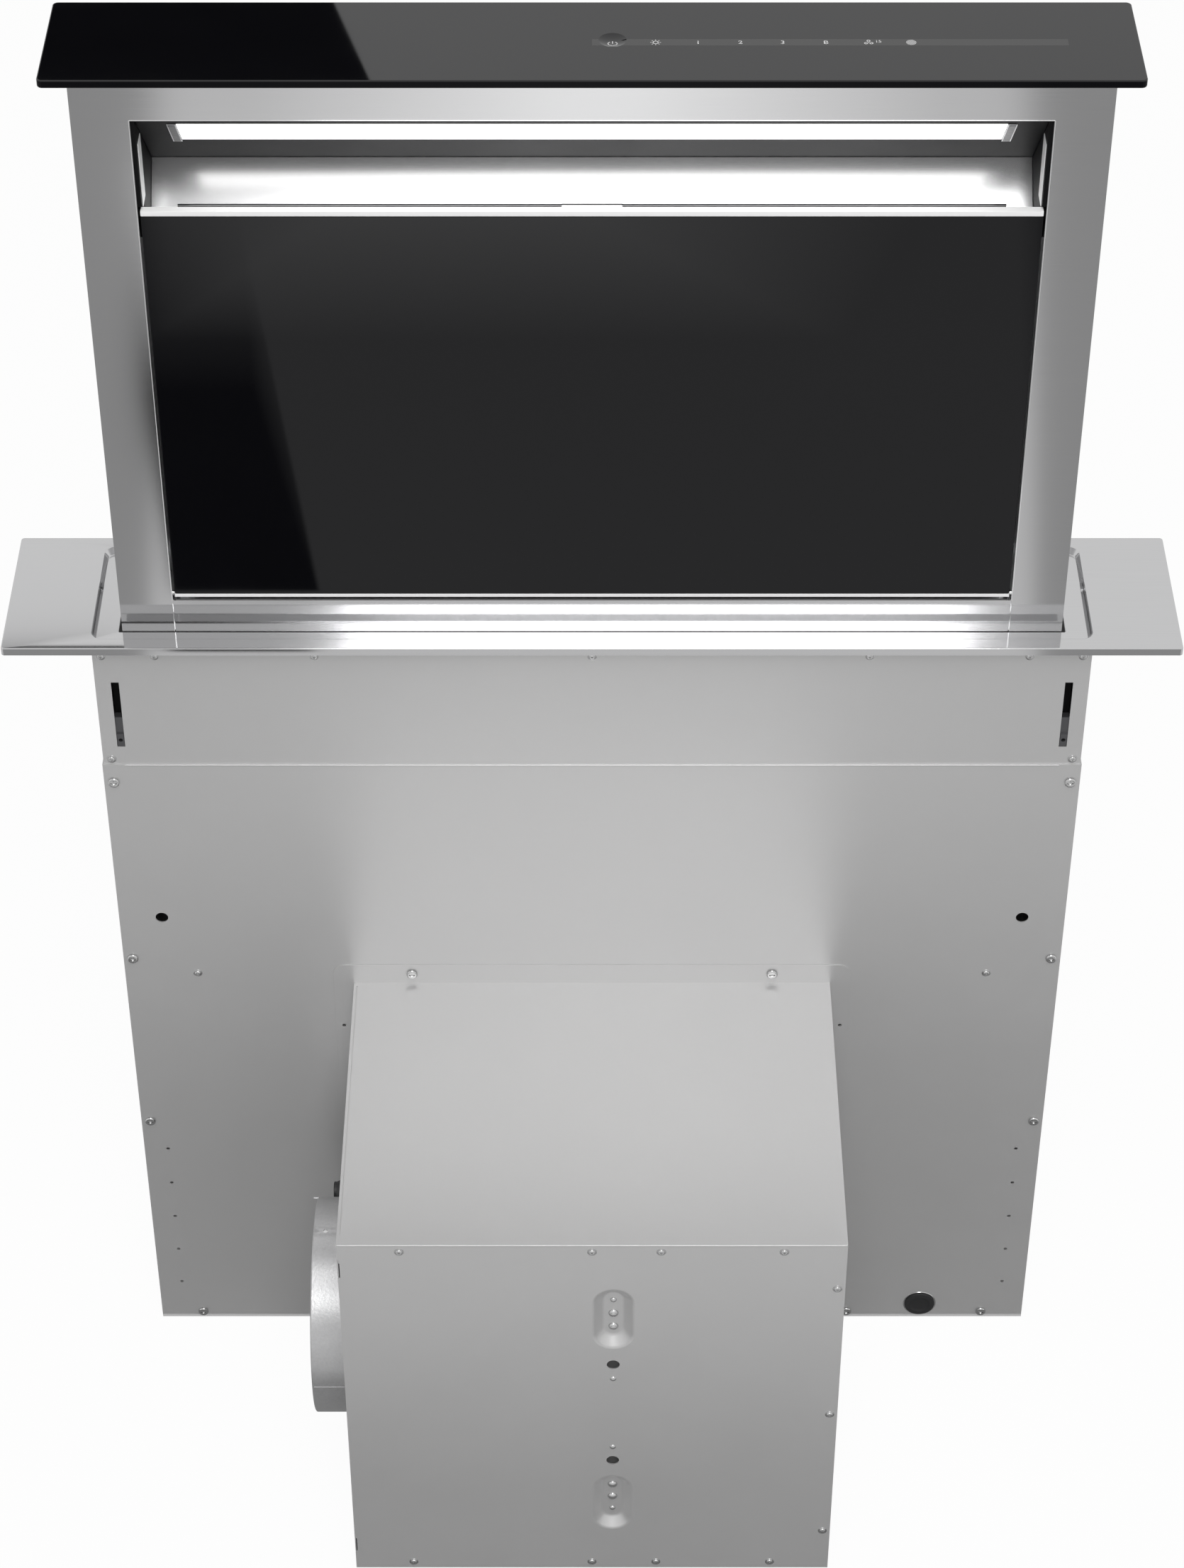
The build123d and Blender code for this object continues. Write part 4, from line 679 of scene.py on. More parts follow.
# ---------------------------------------------------------------- operators
class VentOperator(bpy.types.Operator):
    """Shared parts of every step."""

    bl_options = {"REGISTER", "UNDO"}

    @property
    def sizes(self):
        return bpy.context.scene.vent_sizes

    @property
    def colours(self):
        return bpy.context.scene.vent_colours

    @property
    def stage(self):
        return bpy.context.scene.vent_stage


class VENT_OT_frame(VentOperator):
    """Give every piece of the frame its finish"""

    bl_idname = "vent.frame"
    bl_label = "Finish the frame"

    def execute(self, context):
        deselect()
        finishes.update(make_finishes(self.colours, self.stage))
        for node, piece in nodes.items():
            piece.data.materials.clear()
            piece.data.materials.append(finishes[SLOTS[node]])
        return {"FINISHED"}


class VENT_OT_cover_plate(VentOperator):
    """Press the cover plate from one sheet, with its drawn recess and slot"""

    bl_idname = "vent.cover_plate"
    bl_label = "Cover plate"

    def execute(self, context):
        sizes = self.sizes
        low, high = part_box("cover_plate")
        cap_low, cap_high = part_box("cap_glass")
        column_low, column_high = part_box("canopy_front")
        top, level = high.z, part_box("hanger_frame")[1].z + sizes.sheet
        rim, turn = sizes.plate_rim, sizes.press_radius
        slope, corner = sizes.recess_slope, sizes.recess_corner
        plate = (high.x - low.x, high.y - low.y)
        floor = (cap_high.x - cap_low.x + 2 * sizes.cap_gap, cap_high.y - cap_low.y + 2 * sizes.cap_gap)
        slot = (column_high.x - column_low.x + 2 * sizes.slot_gap, sizes.slot_depth)

        def ring(size, grown, radius, height):
            """An outline of this size, grown on all sides."""
            return size[0] + 2 * grown, size[1] + 2 * grown, radius, height

        rings = [ring(plate, 0, sizes.plate_corner, low.z)]
        for step in (0, 30, 60, 90):
            back = rim * (1 - math.cos(math.radians(step)))
            rise = rim * math.sin(math.radians(step))
            rings.append(ring(plate, -back, sizes.plate_corner - back * 0.5, top - rim + rise))
        rings += [
            ring(floor, slope + turn, corner + slope + turn, top),
            ring(floor, slope, corner + slope, top - turn * 0.5),
            ring(floor, 0, corner, level + turn * 0.5),
            ring(floor, -turn, corner - turn, level),
            ring(slot, turn * 0.5, sizes.slot_corner, level),
            ring(slot, 0, sizes.slot_corner, level - turn * 0.3),
        ]
        pressing = skin("cover_plate_pressing", rings, sizes.steps)
        choose(pressing, "FACE", lambda middle, normal: True)
        if max(pressing.data.polygons, key=lambda face: face.area).normal.z < 0:
            bpy.ops.mesh.flip_normals()
        apply_modifier(pressing, "SOLIDIFY", thickness=sizes.sheet * 0.95, offset=-1.0)
        seat(smooth(pressing), finishes["steel"], "cover_plate")
        return {"FINISHED"}


class VENT_OT_cap(VentOperator):
    """Grind the glass cap, with its finger dish, and print the touch symbols"""

    bl_idname = "vent.cap"
    bl_label = "Glass cap and symbols"

    def execute(self, context):
        sizes = self.sizes
        low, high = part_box("cap_glass")
        width, depth = high.x - low.x, high.y - low.y
        top, edge, corner = high.z - sizes.print_height, sizes.cap_edge, sizes.cap_corner
        ground = ((1, 0), (0.25, 0.25), (0, 1))      # shares of the edge: inwards, and from the face
        levels = [(inset, low.z + rise * edge) for inset, rise in ground]
        levels += [(inset, top - rise * edge) for inset, rise in reversed(ground)]
        rings = [(width - 2 * inset * edge, depth - 2 * inset * edge, corner - inset * edge, level)
                 for inset, level in levels]
        cap = skin("cap_glass_ground", rings, sizes.steps, closed=(True, True))
        # The finger dish is a shallow cut with a large ball.
        reach, deep = sizes.dish_radius, sizes.dish_depth
        ball = (reach * reach + deep * deep) / (2 * deep)
        dish = (sizes.dish_x, sizes.symbol_y + sizes.dish_back)
        cut(cap, add("uv_sphere", segments=160, ring_count=160, radius=ball,
                     location=(*dish, top + ball - deep)))
        smooth(cap, 12.0)
        seat(cap, finishes["black_glass"], "cap_glass")
        # The ground edges are duller than the polished face.
        cap.data.materials.append(black_glass("ground_edge", self.colours.glass, 0.06))
        choose(cap, "FACE", lambda middle, normal: abs(normal.z) < 0.3)
        cap.active_material_index = 1
        bpy.ops.object.material_slot_assign()
        deselect()
        tint = black_glass("touch_tint", self.colours.strip, 0.5)
        strip = self.bar((sizes.strip_length / 2, sizes.symbol_y),
                         (sizes.strip_length, sizes.strip_height), top)
        seat(self.lay(strip, cap), tint, body="canopy", slot="black_glass")
        cut(strip, new_rod("dish", (*dish, top), reach + sizes.print_height, sizes.strip_height))
        printed = plain_finish("printed_symbols", self.colours.printed, 0.5, 0.0, 900.0, 0.005)
        symbols = self.lay(join(self.symbols(top), "touch_symbols"), cap, 2.0)
        seat(symbols, printed, body="canopy", slot="black_glass")
        dot = add("circle", "touch_dot", vertices=48, radius=sizes.dot_radius, fill_type="NGON",
                  location=(sizes.dot_x, sizes.symbol_y, top + MM))
        seat(self.lay(dot, cap, 2.0), hatched_print(self.colours.printed), body="canopy", slot="black_glass")
        return {"FINISHED"}

    def lay(self, flat, cap, layer=1.0):
        """Lays a flat print on the glass and into its dish, and gives it its thickness."""
        print_height = self.sizes.print_height
        choose(flat, "FACE", lambda middle, normal: normal.z < 0)
        bpy.ops.mesh.flip_normals()
        apply_modifier(flat, "SHRINKWRAP", target=cap, wrap_method="PROJECT", use_project_z=True,
                       use_negative_direction=True, use_positive_direction=False, wrap_mode="ABOVE_SURFACE",
                       offset=0.2 * layer * print_height)
        return apply_modifier(flat, "SOLIDIFY", thickness=print_height * 0.5, offset=1.0)

    def bar(self, place, size, top, turn=0.0):
        """One flat stroke or strip."""
        return add("plane", scale=(*size, 1), size=1, location=(*place, top + MM), rotation=(0, 0, turn))

    def arc(self, place, radius, top, gap=0.0):
        """A flat ring, open at the back by a gap in degrees."""
        line = self.sizes.symbol_line
        middle = Vector((*place, top + MM))
        ring = add("circle", vertices=64, radius=radius - line / 2, location=middle)
        choose(ring, "VERT", lambda spot, index: (spot - middle).angle(Vector((0, 1, 0))) <
               math.radians(gap / 2))
        bpy.ops.mesh.delete(type="VERT")
        bpy.ops.mesh.select_all(action="SELECT")
        bpy.ops.mesh.extrude_region_move()
        share = (radius + line / 2) / (radius - line / 2)
        bpy.ops.transform.resize(value=(share, share, 1), center_override=middle)
        bpy.ops.object.mode_set(mode="OBJECT")
        return ring

    def figure(self, text, place, size, top):
        """A flat number or letter."""
        deselect()
        bpy.ops.object.text_add(location=(*place, top + MM))
        letter = bpy.context.object
        letter.data.body = text
        letter.data.size = size
        letter.data.align_x = letter.data.align_y = "CENTER"
        letter.data.offset = size * 0.012
        bpy.ops.object.convert(target="MESH")
        return settle(bpy.context.object)

    def symbols(self, top):
        """Power, lamp, 1, 2, 3, B, and fan with 15."""
        sizes = self.sizes
        row, line, size = sizes.symbol_y, sizes.symbol_line, sizes.symbol_size
        power, lamp, fan = (sizes.dish_x, row), (43.0 * MM, row), (187.0 * MM, row)
        made = [self.bar((power[0], row + 2.0 * MM), (line, 3.4 * MM), top),
                self.arc(power, 3.1 * MM, top, 60.0), self.arc(lamp, 1.75 * MM, top)]

        def around(centre, radius, turn):
            """A place on a circle round a symbol's middle."""
            return centre[0] + radius * math.cos(turn), row + radius * math.sin(turn)

        for spoke in range(8):
            turn = spoke * math.pi / 4
            made.append(self.bar(around(lamp, 3.1 * MM, turn), (1.1 * MM, line * 0.8), top, turn))
        for text, place in (("1", 71.7), ("2", 100.3), ("3", 128.9), ("B", 158.1)):
            made.append(self.figure(text, (place * MM, row), size, top))
        for blade in range(3):
            turn = math.radians(90 + 120 * blade)
            made += [self.arc(around(fan, 2.1 * MM, turn), 1.0 * MM, top),
                     self.bar(around(fan, 0.63 * MM, turn), (1.3 * MM, line), top, turn)]
        made.append(self.figure("15", (fan[0] + 6.6 * MM, row + 1.3 * MM), size * 0.72, top))
        return made


class VENT_OT_canopy(VentOperator):
    """Round the folds of the canopy, and frame its window and the ends of its light"""

    bl_idname = "vent.canopy"
    bl_label = "Canopy"

    def execute(self, context):
        sizes = self.sizes
        refine(sizes.fold, "canopy_sides", "canopy_rear", "filter_holder", "light_housing", "intake_liners")
        seat(rounded_copy("air_guide", sizes.fold), satin_sheet(self.colours.steel, 0.20), "air_guide")
        # The posts and the sill are one shell with a seam below each corner of the window.
        shell = rounded_copy("canopy_front", 0)
        glass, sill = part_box("glass_carrier")[1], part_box("filter_holder")[0].z
        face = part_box("canopy_front")[0].y
        seam, seam_x = sizes.seam, glass.x + sizes.seam_gap
        for side in (-1, 1):
            cut(shell, new_block("seam", (side * seam_x - seam / 2, face - MM, 0),
                                 (side * seam_x + seam / 2, face + seam, sill)))
        seat(round_edges(shell, sizes.fold), finishes["steel"], "canopy_front")
        # A polished rim and two returns frame the window; the returns are painted highlights in near-white.
        half, rim, top = seam_x + seam / 2, sizes.rim_line, sizes.window_top
        front, back = face - 0.3 * MM, face + MM
        bars = [((-half, front, top), (half, back, top + rim))]
        bars += [((side * half, front, MM), (side * (half + rim * 0.7), back, top)) for side in (-1, 1)]
        polished = black_glass("polished_rim", self.colours.carrier, 0.5, 1.0)
        trim("window_rim", bars, 0.2 * MM, polished, "canopy", "steel")
        outer, sheet, start, end = half - 3.3 * MM, 0.6 * MM, face + 6.6 * MM, top - 22 * MM
        returns = [((side * outer, start, glass.z), (side * (outer - sheet), start + sizes.return_depth, end))
                   for side in (-1, 1)]
        # Near-white with little metal: a painted highlight where the steel return would reflect the room.
        bright = plain_finish("bright_return", self.colours.carrier, 0.3, 0.2, 400.0, 0.002, 0.03)
        trim("window_returns", returns, 0.15 * MM, bright, "canopy", "steel")
        self.lens_ends()
        return {"FINISHED"}

    def lens_ends(self):
        """Two dark end caps in thin bright frames close the ends of the lens."""
        low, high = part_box("light_lens")
        middle = (low.y + high.y) / 2
        ceiling = self.sizes.window_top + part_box("canopy_front")[0].y + 1.5 * MM
        leaning = {"place": (0, middle, ceiling - middle), "turn": math.radians(135)}
        half = (high.z - low.z) * math.sqrt(2) / 2
        inner, outer = high.x + 0.1 * MM, high.x + self.sizes.lens_end
        border = 0.8 * MM

        def ends(inset, proud):
            """A block at each end of the lens, in the ceiling's plane."""
            return [((side * (inner + inset), -half + inset, -0.5 * MM),
                     (side * (outer - inset), half - inset, proud)) for side in (-1, 1)]

        dark = plain_finish("lens_end_cap", self.colours.plastic, 0.25, 0.3, 260.0, 0.25, 0.6)
        trim("lens_end_frames", ends(0.0, border), 0.1 * MM, finishes["rail"], "canopy", "rail", **leaning)
        trim("lens_end_caps", ends(border, 1.1 * MM), 0.2 * MM, dark, "canopy", "black_trim", **leaning)


class VENT_OT_front_panel(VentOperator):
    """Grind the edges of the tilting glass, and fit the ledge behind it"""

    bl_idname = "vent.front_panel"
    bl_label = "Tilting front"

    def execute(self, context):
        low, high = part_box("front_glass")
        centre = (low + high) / 2
        width, height, thick = high.x - low.x, high.z - low.z, high.y - low.y
        edge, corner = self.sizes.cap_edge * 0.7, 1.5 * MM
        levels = ((1, 0.0), (0, edge * 0.5), (0, thick - edge), (0.6, thick - edge * 0.3), (2, thick))
        rings = [(width - inset * edge, height - inset * edge, corner, level) for inset, level in levels]
        glass = skin("front_glass_ground", rings, self.sizes.steps, closed=(True, True),
                     front=(centre.x, high.y, centre.z))
        seat(smooth(glass, 25.0), black_glass("front_glass_print", self.colours.glass, 0.25), "front_glass")
        bright = plain_finish("bright_strip", self.colours.carrier, 0.24, 0.0, 400.0, 0.0, 0.02)
        seat(rounded_copy("glass_carrier", self.sizes.fold), bright, "glass_carrier")
        # A thin ledge with a lip runs along the carrier, behind the glass.
        low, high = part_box("glass_carrier")
        left, right = low.x + self.sizes.ledge_inset, high.x - self.sizes.ledge_inset
        back, top = high.y - 1.2 * MM, high.z
        ledge = ((left, back - 1.8 * MM, top - MM), (right, back, top))
        lip = ((left, back - 0.6 * MM, top - 3 * MM), (right, back, top - 0.9 * MM))
        trim("carrier_ledge", (ledge, lip), 0.2 * MM, finishes["steel"], "front_glass", "steel")
        return {"FINISHED"}


class VENT_OT_housing(VentOperator):
    """Round the folds of the housing's sheets, and form the hems and the grommet"""

    bl_idname = "vent.housing"
    bl_label = "Housing"

    def execute(self, context):
        sizes = self.sizes
        refine(sizes.fold * 0.8, "band_front", "band_sides", "band_back", "housing_front", "housing_sides",
               "housing_back", "bottom_pan", "blower_flange", "rear_cover", "clamp_block_left",
               "clamp_block_right", "control_box", "cap_tray")
        refine(sizes.box_fold, "box_bottom", "box_left", "box_right")
        # Hems along the upper folds of the housing's and the box's front
        hems = []
        for node, inset in (("housing_front", sizes.hem_end), ("box_front", sizes.fold)):
            low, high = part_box(node)
            hems.append(((low.x + inset, low.y - 0.5 * MM, high.z - sizes.hem),
                         (high.x - inset, low.y + MM, high.z - 0.1 * MM)))
        trim("hems", hems, 0.45 * MM, finishes["galvanised"], "housing", "galvanised", segments=3)
        # The lid's left edge shows the seam over the side's fold.
        lid = rounded_copy("box_top", 0)
        low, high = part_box("box_top")
        seam_x = low.x + 2.2 * MM
        cut(lid, new_block("seam", (seam_x, low.y + 9 * MM, high.z - sizes.seam),
                           (seam_x + sizes.seam, high.y - 4 * MM, high.z + MM)))
        seat(round_edges(lid, sizes.seam * 0.45), finishes["galvanised"], "box_top")
        # A rubber grommet with a rounded rim and a domed web
        low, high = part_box("cable_grommet")
        centre = Vector(((low.x + high.x) / 2, low.y, (low.z + high.z) / 2))
        outer, deep = (high.x - low.x) / 2, high.y - low.y
        outline = [(0, 1.4), (0.45, 1.2), (0.58, 0.9), (0.66, 0.2), (0.72, 0.0), (0.9, 0.0), (0.97, 0.35),
                   (1.0, 1.0), (1.0, 2.0), (0.7, 2.0)]
        points = [centre + Vector((share * outer, level * MM, 0)) for share, level in outline]
        points += [centre + Vector((0.69 * outer, deep, 0)), centre + Vector((0, deep, 0))]
        moulding = spin_outline("grommet_moulding", points, centre, (0, 1, 0), 64)
        seat(moulding, finishes["rubber"], "cable_grommet")
        sheet_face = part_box("housing_front")[0].y
        ring = [Vector((centre.x + outer + reach * MM, sheet_face + level * MM, centre.z)) for reach, level in
                ((0.1, 0.2), (0.2, -0.35), (1.1, -0.45), (1.5, 0.2))]
        seat(spin_outline("grommet_ring", ring, centre, (0, 1, 0), 64), finishes["fastener"], body="housing",
             slot="galvanised")
        return {"FINISHED"}


class VENT_OT_box_front(VentOperator):
    """Press the two pockets into the front of the blower box, and set its heads"""

    bl_idname = "vent.box_front"
    bl_label = "Blower box front"

    def execute(self, context):
        sizes = self.sizes
        fan_low, fan_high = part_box("impeller")
        centre = (fan_low + fan_high) / 2
        left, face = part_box("box_front")[0].xy
        floor, near = face + sizes.pocket_depth, 0.05 * MM
        # Half the width and height round a pocket, of its floor, and of the holes in it
        wide, tall = 16 * MM, 34 * MM
        floor_wide, floor_tall = 12 * MM, 30 * MM
        holes_wide, holes_tall = 3.4 * MM, 18.5 * MM
        pockets = [centre.z + side * sizes.pocket_pitch / 2 for side in (-1, 1)]

        def on_rim(middle, way):
            """Whether an edge runs round a pocket's mouth or floor, away from the holes in it."""
            across = abs(middle.x - centre.x)
            along = min(abs(middle.z - pocket) for pocket in pockets)
            level = min(abs(middle.y - face), abs(middle.y - floor))
            off_holes = across > holes_wide or along > holes_tall
            return across < wide and along < tall and level < near and abs(way.y) < 0.2 and off_holes

        front = rounded_copy("box_front", 0)
        for pocket in pockets:
            # The heads close the holes in a pocket's floor, so it becomes one whole face.
            choose(front, "FACE", lambda middle, normal: abs(middle.y - floor) < near and
                   abs(normal.y) > 0.9 and abs(middle.x - centre.x) < floor_wide and
                   abs(middle.z - pocket) < floor_tall)
            bpy.ops.mesh.delete(type="FACE")
            choose(front, "EDGE", lambda middle, way: abs(middle.z - pocket) < tall and
                   on_rim(middle, way) and abs(middle.y - floor) < near)
            bpy.ops.mesh.edge_face_add()
        for height in (sizes.tab_upper, sizes.tab_lower):
            cut(front, new_block("tab_slot", (left - MM, face - MM, height - sizes.tab_height / 2),
                                 (left + sizes.tab_slot, face + 6 * MM, height + sizes.tab_height / 2)))
        choose(front, "EDGE", on_rim)
        bpy.ops.mesh.bevel(offset=sizes.pocket_shoulder, segments=4)
        deselect()
        seat(round_edges(front, sizes.fold), finishes["galvanised"], "box_front")
        heads = []
        for side, pocket in zip((-1, 1), pockets):
            for reach, radius in ((0, sizes.bolt_head), (-side, sizes.bolt_head), (side, sizes.stud_head)):
                heads.append(dome("head", radius, radius * 0.62,
                                  (centre.x, floor, pocket + reach * sizes.bolt_pitch)))
            heads.append(dome("head", sizes.stud_head, sizes.stud_head * 0.55,
                              (centre.x, face, centre.z + side * sizes.stud_offset)))
        seat(join(heads, "bracket_heads"), finishes["fastener"], body="housing", slot="fastener")
        return {"FINISHED"}


class VENT_OT_collar(VentOperator):
    """Turn the exhaust collar, with its rib and catch, and the cable gland's nut"""

    bl_idname = "vent.collar"
    bl_label = "Exhaust collar"

    def execute(self, context):
        sizes = self.sizes
        low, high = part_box("exhaust_collar")
        centre = (low + high) / 2
        flange = (high.y - low.y) / 2
        outer = flange - sizes.collar_flange
        inner = outer - sizes.collar_wall
        mouth, back, foot = low.x, high.x, high.x - 1.5 * MM
        outline = [
            (back, inner), (back, flange - 0.3 * MM), (foot + 0.8 * MM, flange), (foot, flange - 0.5 * MM),
            (foot, outer + 1.5 * MM), (foot - 0.5 * MM, outer + 0.5 * MM), (foot - 1.5 * MM, outer),
            (mouth + 1.2 * MM, outer), (mouth + 0.4 * MM, outer - 0.35 * MM), (mouth, outer - 1.1 * MM),
            (mouth, inner + 0.6 * MM), (mouth + 0.6 * MM, inner), (back, inner),
        ]
        points = [Vector((x, centre.y, centre.z + radius)) for x, radius in outline]
        collar = spin_outline("exhaust_collar_cast", points, centre, (1, 0, 0), 144)
        pin_low, pin_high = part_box("flap_pin")
        pin = (pin_low + pin_high) / 2
        cut(collar, new_rod("pin_hole", pin, (pin_high.x - pin_low.x) / 2, 2 * flange, 32))
        # A parting rib along the front, and a catch for the duct on the mouth's upper edge
        rib_top = centre.z - 1.2 * MM
        ridge = new_block("rib", (mouth + 1.6 * MM, centre.y - outer - 0.45 * MM, rib_top - sizes.collar_rib),
                          (back - 3 * MM, centre.y - outer + 0.8 * MM, rib_top))
        round_edges(ridge, 0.25 * MM)
        catch = new_block("catch", (mouth - 4.5 * MM, -2.6 * MM, inner + 0.4 * MM),
                          (mouth + 3 * MM, 2.6 * MM, outer - 0.1 * MM))
        round_edges(catch, 0.9 * MM, 3)
        put(catch, (0, centre.y, centre.z), sizes.catch_turn)
        collar = join([collar, ridge, catch], "exhaust_collar_cast")
        seat(collar, finishes["cast"], "exhaust_collar")
        # The cable gland's domed nut
        low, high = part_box("cable_gland")
        centre = (low + high) / 2
        nut = [(14, 7.5), (13, 9.6), (5, 9.2), (2, 7.8), (0.2, 5.4), (0.2, 4.4), (4, 4.2), (14, 4.2),
               (14, 7.5)]
        points = [Vector((low.x + reach * MM, centre.y, centre.z + radius * MM)) for reach, radius in nut]
        cap = spin_outline("gland_nut", points, (0, centre.y, centre.z), (1, 0, 0), 48)
        gland = join([rounded_copy("cable_gland", 0.6 * MM), cap], "cable_gland_moulding")
        seat(gland, finishes["flap_plastic"], "cable_gland")
        return {"FINISHED"}


class VENT_OT_fasteners(VentOperator):
    """Form the rivets and screws, and set one of them at each place in the frame"""

    bl_idname = "vent.fasteners"
    bl_label = "Rivets and screws"

    def execute(self, context):
        for node, pattern in (("rivets", self.rivet), ("screws", self.screw)):
            seat(self.repeat(pattern(), node), finishes["fastener"], node)
        return {"FINISHED"}

    def rivet(self):
        """A domed head with the hole that its mandrel leaves; its top is at zero and faces up."""
        low, high = loose_parts("rivets")[0]
        radius, height = (high.x - low.x) / 2, 1.5 * MM
        profile = [(0.0, 0.35), (0.22, 0.35), (0.26, 0.95), (0.36, 1.0), (0.50, 0.96), (0.62, 0.84),
                   (0.70, 0.62), (0.73, 0.30), (0.77, 0.26), (0.82, 0.42), (0.90, 0.45), (0.97, 0.34),
                   (1.0, 0.12), (1.0, 0.0)]
        points = [Vector((share * radius, 0, (level - 1) * height)) for share, level in profile]
        return spin_outline("rivet", points, (0, 0, 0), (0, 0, 1), 28)

    def screw(self):
        """A pan head with a cross recess; its top is at zero and faces up."""
        low, high = loose_parts("screws")[0]
        radius, height, sizes = (high.x - low.x) / 2, 2.2 * MM, self.sizes
        head = new_rod("screw", (0, 0, -height / 2), radius, height, 32)
        round_edges(head, sizes.screw_dome, 4)
        reach = radius * 0.55
        for turn in (0, math.pi / 2):
            slot = new_block("slot", (-reach, -sizes.cross_width / 2, -sizes.cross_depth),
                             (reach, sizes.cross_width / 2, height))
            cut(head, put(slot, (0, 0, 0), turn, "Z"))
        activate(head)
        bpy.ops.object.shade_smooth_by_angle(angle=math.radians(30))
        return head

    def repeat(self, pattern, node):
        """Copies the pattern to each solid of the node, with its top at the solid's outer end."""
        copies = []
        for low, high in loose_parts(node):
            front = (low.y + high.y) < 0
            activate(pattern)
            bpy.ops.object.duplicate()
            piece = bpy.context.object
            place = ((low.x + high.x) / 2, low.y if front else high.y, (low.z + high.z) / 2)
            copies.append(put(piece, place, math.pi / 2 if front else -math.pi / 2))
        drop(pattern)
        return join(copies, node + "_formed")


class VENT_OT_stage(VentOperator):
    """Set the camera, the floor and the lamps"""

    bl_idname = "vent.stage"
    bl_label = "Stage"

    def execute(self, context):
        stage = self.stage
        deselect()
        bpy.ops.object.camera_add(location=(0, stage.camera_y, stage.camera_z),
                                  rotation=(math.pi / 2 - stage.camera_tilt, 0, 0))
        camera = context.object
        camera.name = "camera"
        camera.data.lens = stage.camera_lens
        camera.data.sensor_width = 36.0
        camera.data.clip_start, camera.data.clip_end = 0.05, 100.0
        context.scene.camera = camera
        floor = add("plane", "floor", size=stage.floor_size, location=(0, 0, cad_box[0].z))
        floor.data.materials.append(self.floor_finish())
        self.room()
        self.cards(cad_box[0].z + 2 * MM)
        self.lamp("key_lamp", (0.10, -2.6, 2.3), (1.0, 1.2), stage.key_power)
        self.lamp("top_lamp", (0.10, -1.6, 3.4), (1.15, 2.4), stage.top_power)
        context.scene.view_settings.view_transform = "Standard"
        return {"FINISHED"}

    def floor_finish(self):
        """Pale floor: nearly white to the camera, but it keeps the object's shadow."""
        finish = Finish("floor_finish", Roughness=0.8, Base_Color=(0.85, 0.85, 0.85))
        camera, glossy = finish.rays()
        plain = Value(finish, finish.shader.outputs[0])
        glow, dim = (finish.white("ShaderNodeEmission", level) for level in (1.0, self.stage.floor_gloss))
        seen = finish.mix(camera * self.stage.floor_white, plain, glow)
        finish.show(finish.mix(glossy, seen, dim))
        return finish.material

    def room(self):
        """White room to the camera and in reflections, softer as a light."""
        world = bpy.data.worlds.new("room")
        bpy.context.scene.world = world
        tree = ShaderTree(world)
        camera, glossy = tree.rays()
        either = tree.node("ShaderNodeMath", {"operation": "MAXIMUM"}, {0: camera, 1: glossy})
        soft, bright = (tree.white("ShaderNodeBackground", level)
                        for level in (self.stage.room_light, self.stage.room_gloss))
        tree.show(tree.mix(either, soft, bright), "World Output")

    def cards(self, level):
        """Cards that only gloss shows, as round a product in a studio: dark ones for the black glass, dim
        ones for the posts, and bright ones for the canopy's top rail and the sheets."""
        def on_floor(step):
            return lambda x, y: Vector((x, y, level + step * MM))

        def behind(x, z):
            return Vector((x, 1.5, z))

        def above(x, y):
            return Vector((x, y, 3.2))

        # Name, plane, glow, outer corners, and inner corners or their share of the way to the middle
        rows = [
            ("glass_dark", on_floor(3), 0.0,
             ((-0.580, -1.84), (-0.44, -1.84), (-0.294, -1.066), (-0.455, -1.066)),
             ((-0.525, -1.45), (-0.395, -1.45), (-0.300, -1.069), (-0.4535, -1.069))),
            ("rail_bright", on_floor(5), 1.35,
             ((-0.44, -2.5), (0.46, -2.5), (0.46, -1.98), (-0.44, -1.98)),
             ((-0.04, -2.3), (0.06, -2.3), (0.06, -2.0), (-0.04, -2.0))),
            ("glass_bright", on_floor(7), 1.7,
             ((-0.60, -1.96), (0.45, -1.96), (0.30, -1.55), (-0.53, -1.55)),
             ((-0.35, -1.94), (0.05, -1.94), (0.0, -1.82), (-0.33, -1.82))),
            ("foot_shade", on_floor(1), 0.24,
             ((-0.90, -0.72), (0.90, -0.72), (0.90, 0.40), (-0.90, 0.40)), 0.4),
            ("cap_dark", behind, 0.0,
             ((-0.80, 1.253), (-0.292, 1.253), (-0.247, 1.375), (-0.80, 1.375)), 0.01),
            ("guide_shade", above, 0.14,
             ((-2.6, -2.6), (-0.30, -2.6), (-0.30, -0.8), (-2.6, -0.8)),
             ((-2.5, -2.5), (-0.70, -2.5), (-0.70, -0.9), (-2.5, -0.9))),
        ]
        posts = (((0.585, -2.6), (1.6, -2.6), (1.2, -0.85), (0.455, -0.85)),
                 ((0.62, -2.5), (1.4, -2.5), (1.1, -0.95), (0.475, -0.95)))
        rows += [("post_shade", on_floor(1), 0.40,
                  *[[(side * x, y) for x, y in corners] for corners in posts]) for side in (-1, 1)]
        for name, plane, glow, outer, inner in rows:
            places = [plane(*spot) for spot in outer]
            middle = sum(places, Vector()) / 4
            inside = ([place.lerp(middle, inner) for place in places] if isinstance(inner, float) else
                      [plane(*spot) for spot in inner])
            self.card(name, places, inside, glow)

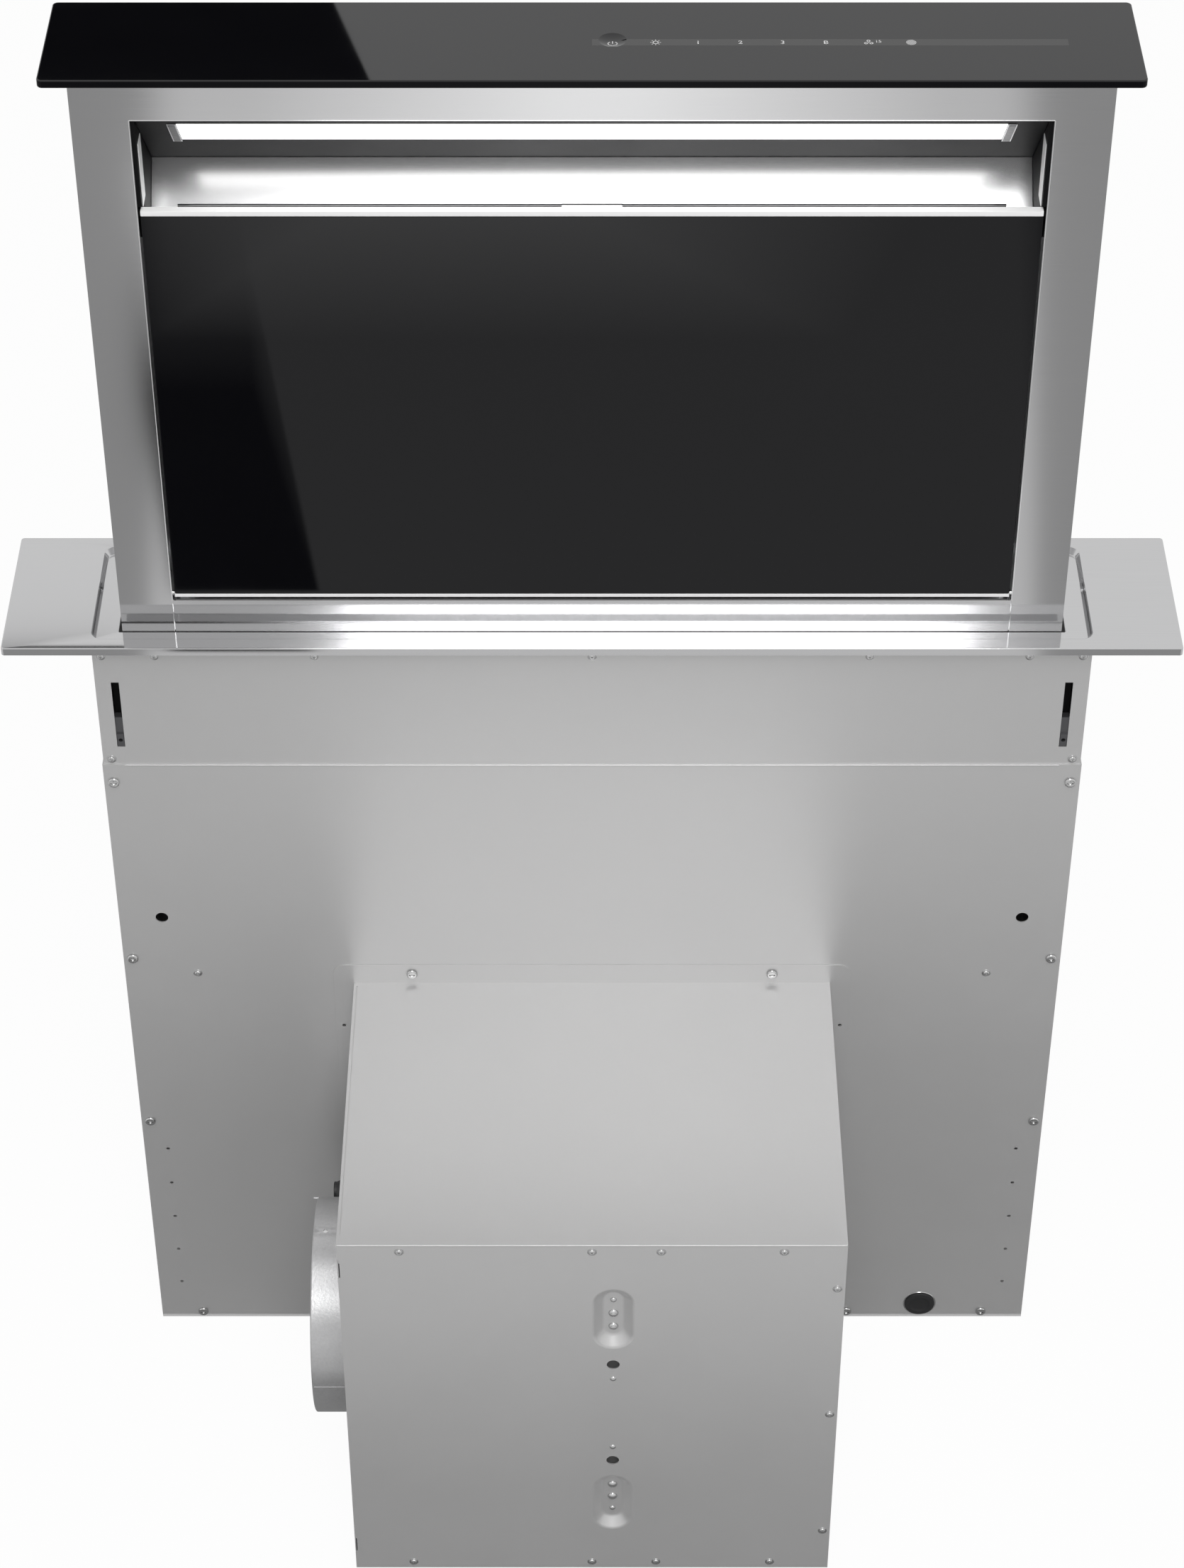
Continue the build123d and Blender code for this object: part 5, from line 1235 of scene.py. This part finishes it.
    def card(self, name, outer, inner, glow):
        """One card, clear at its outer corners and full from its inner ones."""
        places = outer + inner
        sides = [(a, (a + 1) % 4, (a + 1) % 4 + 4, a + 4) for a in range(4)]
        mesh = bpy.data.meshes.new(name)
        mesh.from_pydata(places, [], sides + [(4, 5, 6, 7)])
        share = mesh.attributes.new("share", "FLOAT", "POINT")
        share.data.foreach_set("value", [0.0] * 4 + [1.0] * 4)
        made = bpy.data.objects.new(name, mesh)
        bpy.context.collection.objects.link(made)
        finish = Finish(name + "_finish")
        glowing = finish.white("ShaderNodeEmission", glow)
        clear = finish.node("ShaderNodeBsdfTransparent")
        grown = finish.node("ShaderNodeAttribute", {"attribute_name": "share"}, output=2)
        finish.show(finish.mix(grown, clear, glowing))
        mesh.materials.append(finish.material)
        for kind in ("camera", "diffuse", "transmission", "volume_scatter", "shadow"):
            setattr(made, "visible_" + kind, False)

    def lamp(self, name, place, size, power):
        """A large soft lamp that faces the object's middle."""
        deselect()
        bpy.ops.object.light_add(type="AREA", location=place)
        lamp = bpy.context.object
        lamp.name = name
        lamp.data.shape = "RECTANGLE"
        lamp.data.size, lamp.data.size_y = size
        lamp.data.energy = power
        lamp.rotation_euler = (-Vector(place)).to_track_quat("-Z", "Y").to_euler()


STEPS = (VENT_OT_frame, VENT_OT_cover_plate, VENT_OT_cap, VENT_OT_canopy, VENT_OT_front_panel,
         VENT_OT_housing, VENT_OT_box_front, VENT_OT_collar, VENT_OT_fasteners, VENT_OT_stage)


class VENT_PT_panel(bpy.types.Panel):
    """Lists the steps in order"""

    bl_idname = "VENT_PT_panel"
    bl_label = "Downdraft Vent"
    bl_space_type = "VIEW_3D"
    bl_region_type = "UI"
    bl_category = "Vent"

    def draw(self, context):
        for step in STEPS:
            self.layout.operator(step.bl_idname)


GROUPS = {"vent_sizes": VentSizes, "vent_colours": VentColours, "vent_stage": VentStage}


def register():
    for kind in (*GROUPS.values(), *STEPS, VENT_PT_panel):
        bpy.utils.register_class(kind)
    for name, group in GROUPS.items():
        setattr(bpy.types.Scene, name, PointerProperty(type=group))


def unregister():
    for name in GROUPS:
        delattr(bpy.types.Scene, name)
    for kind in (VENT_PT_panel, *reversed(STEPS), *GROUPS.values()):
        bpy.utils.unregister_class(kind)


def main():
    register()
    for step in STEPS:
        group, name = step.bl_idname.split(".")
        getattr(getattr(bpy.ops, group), name)()


if __name__ == "__main__":
    main()
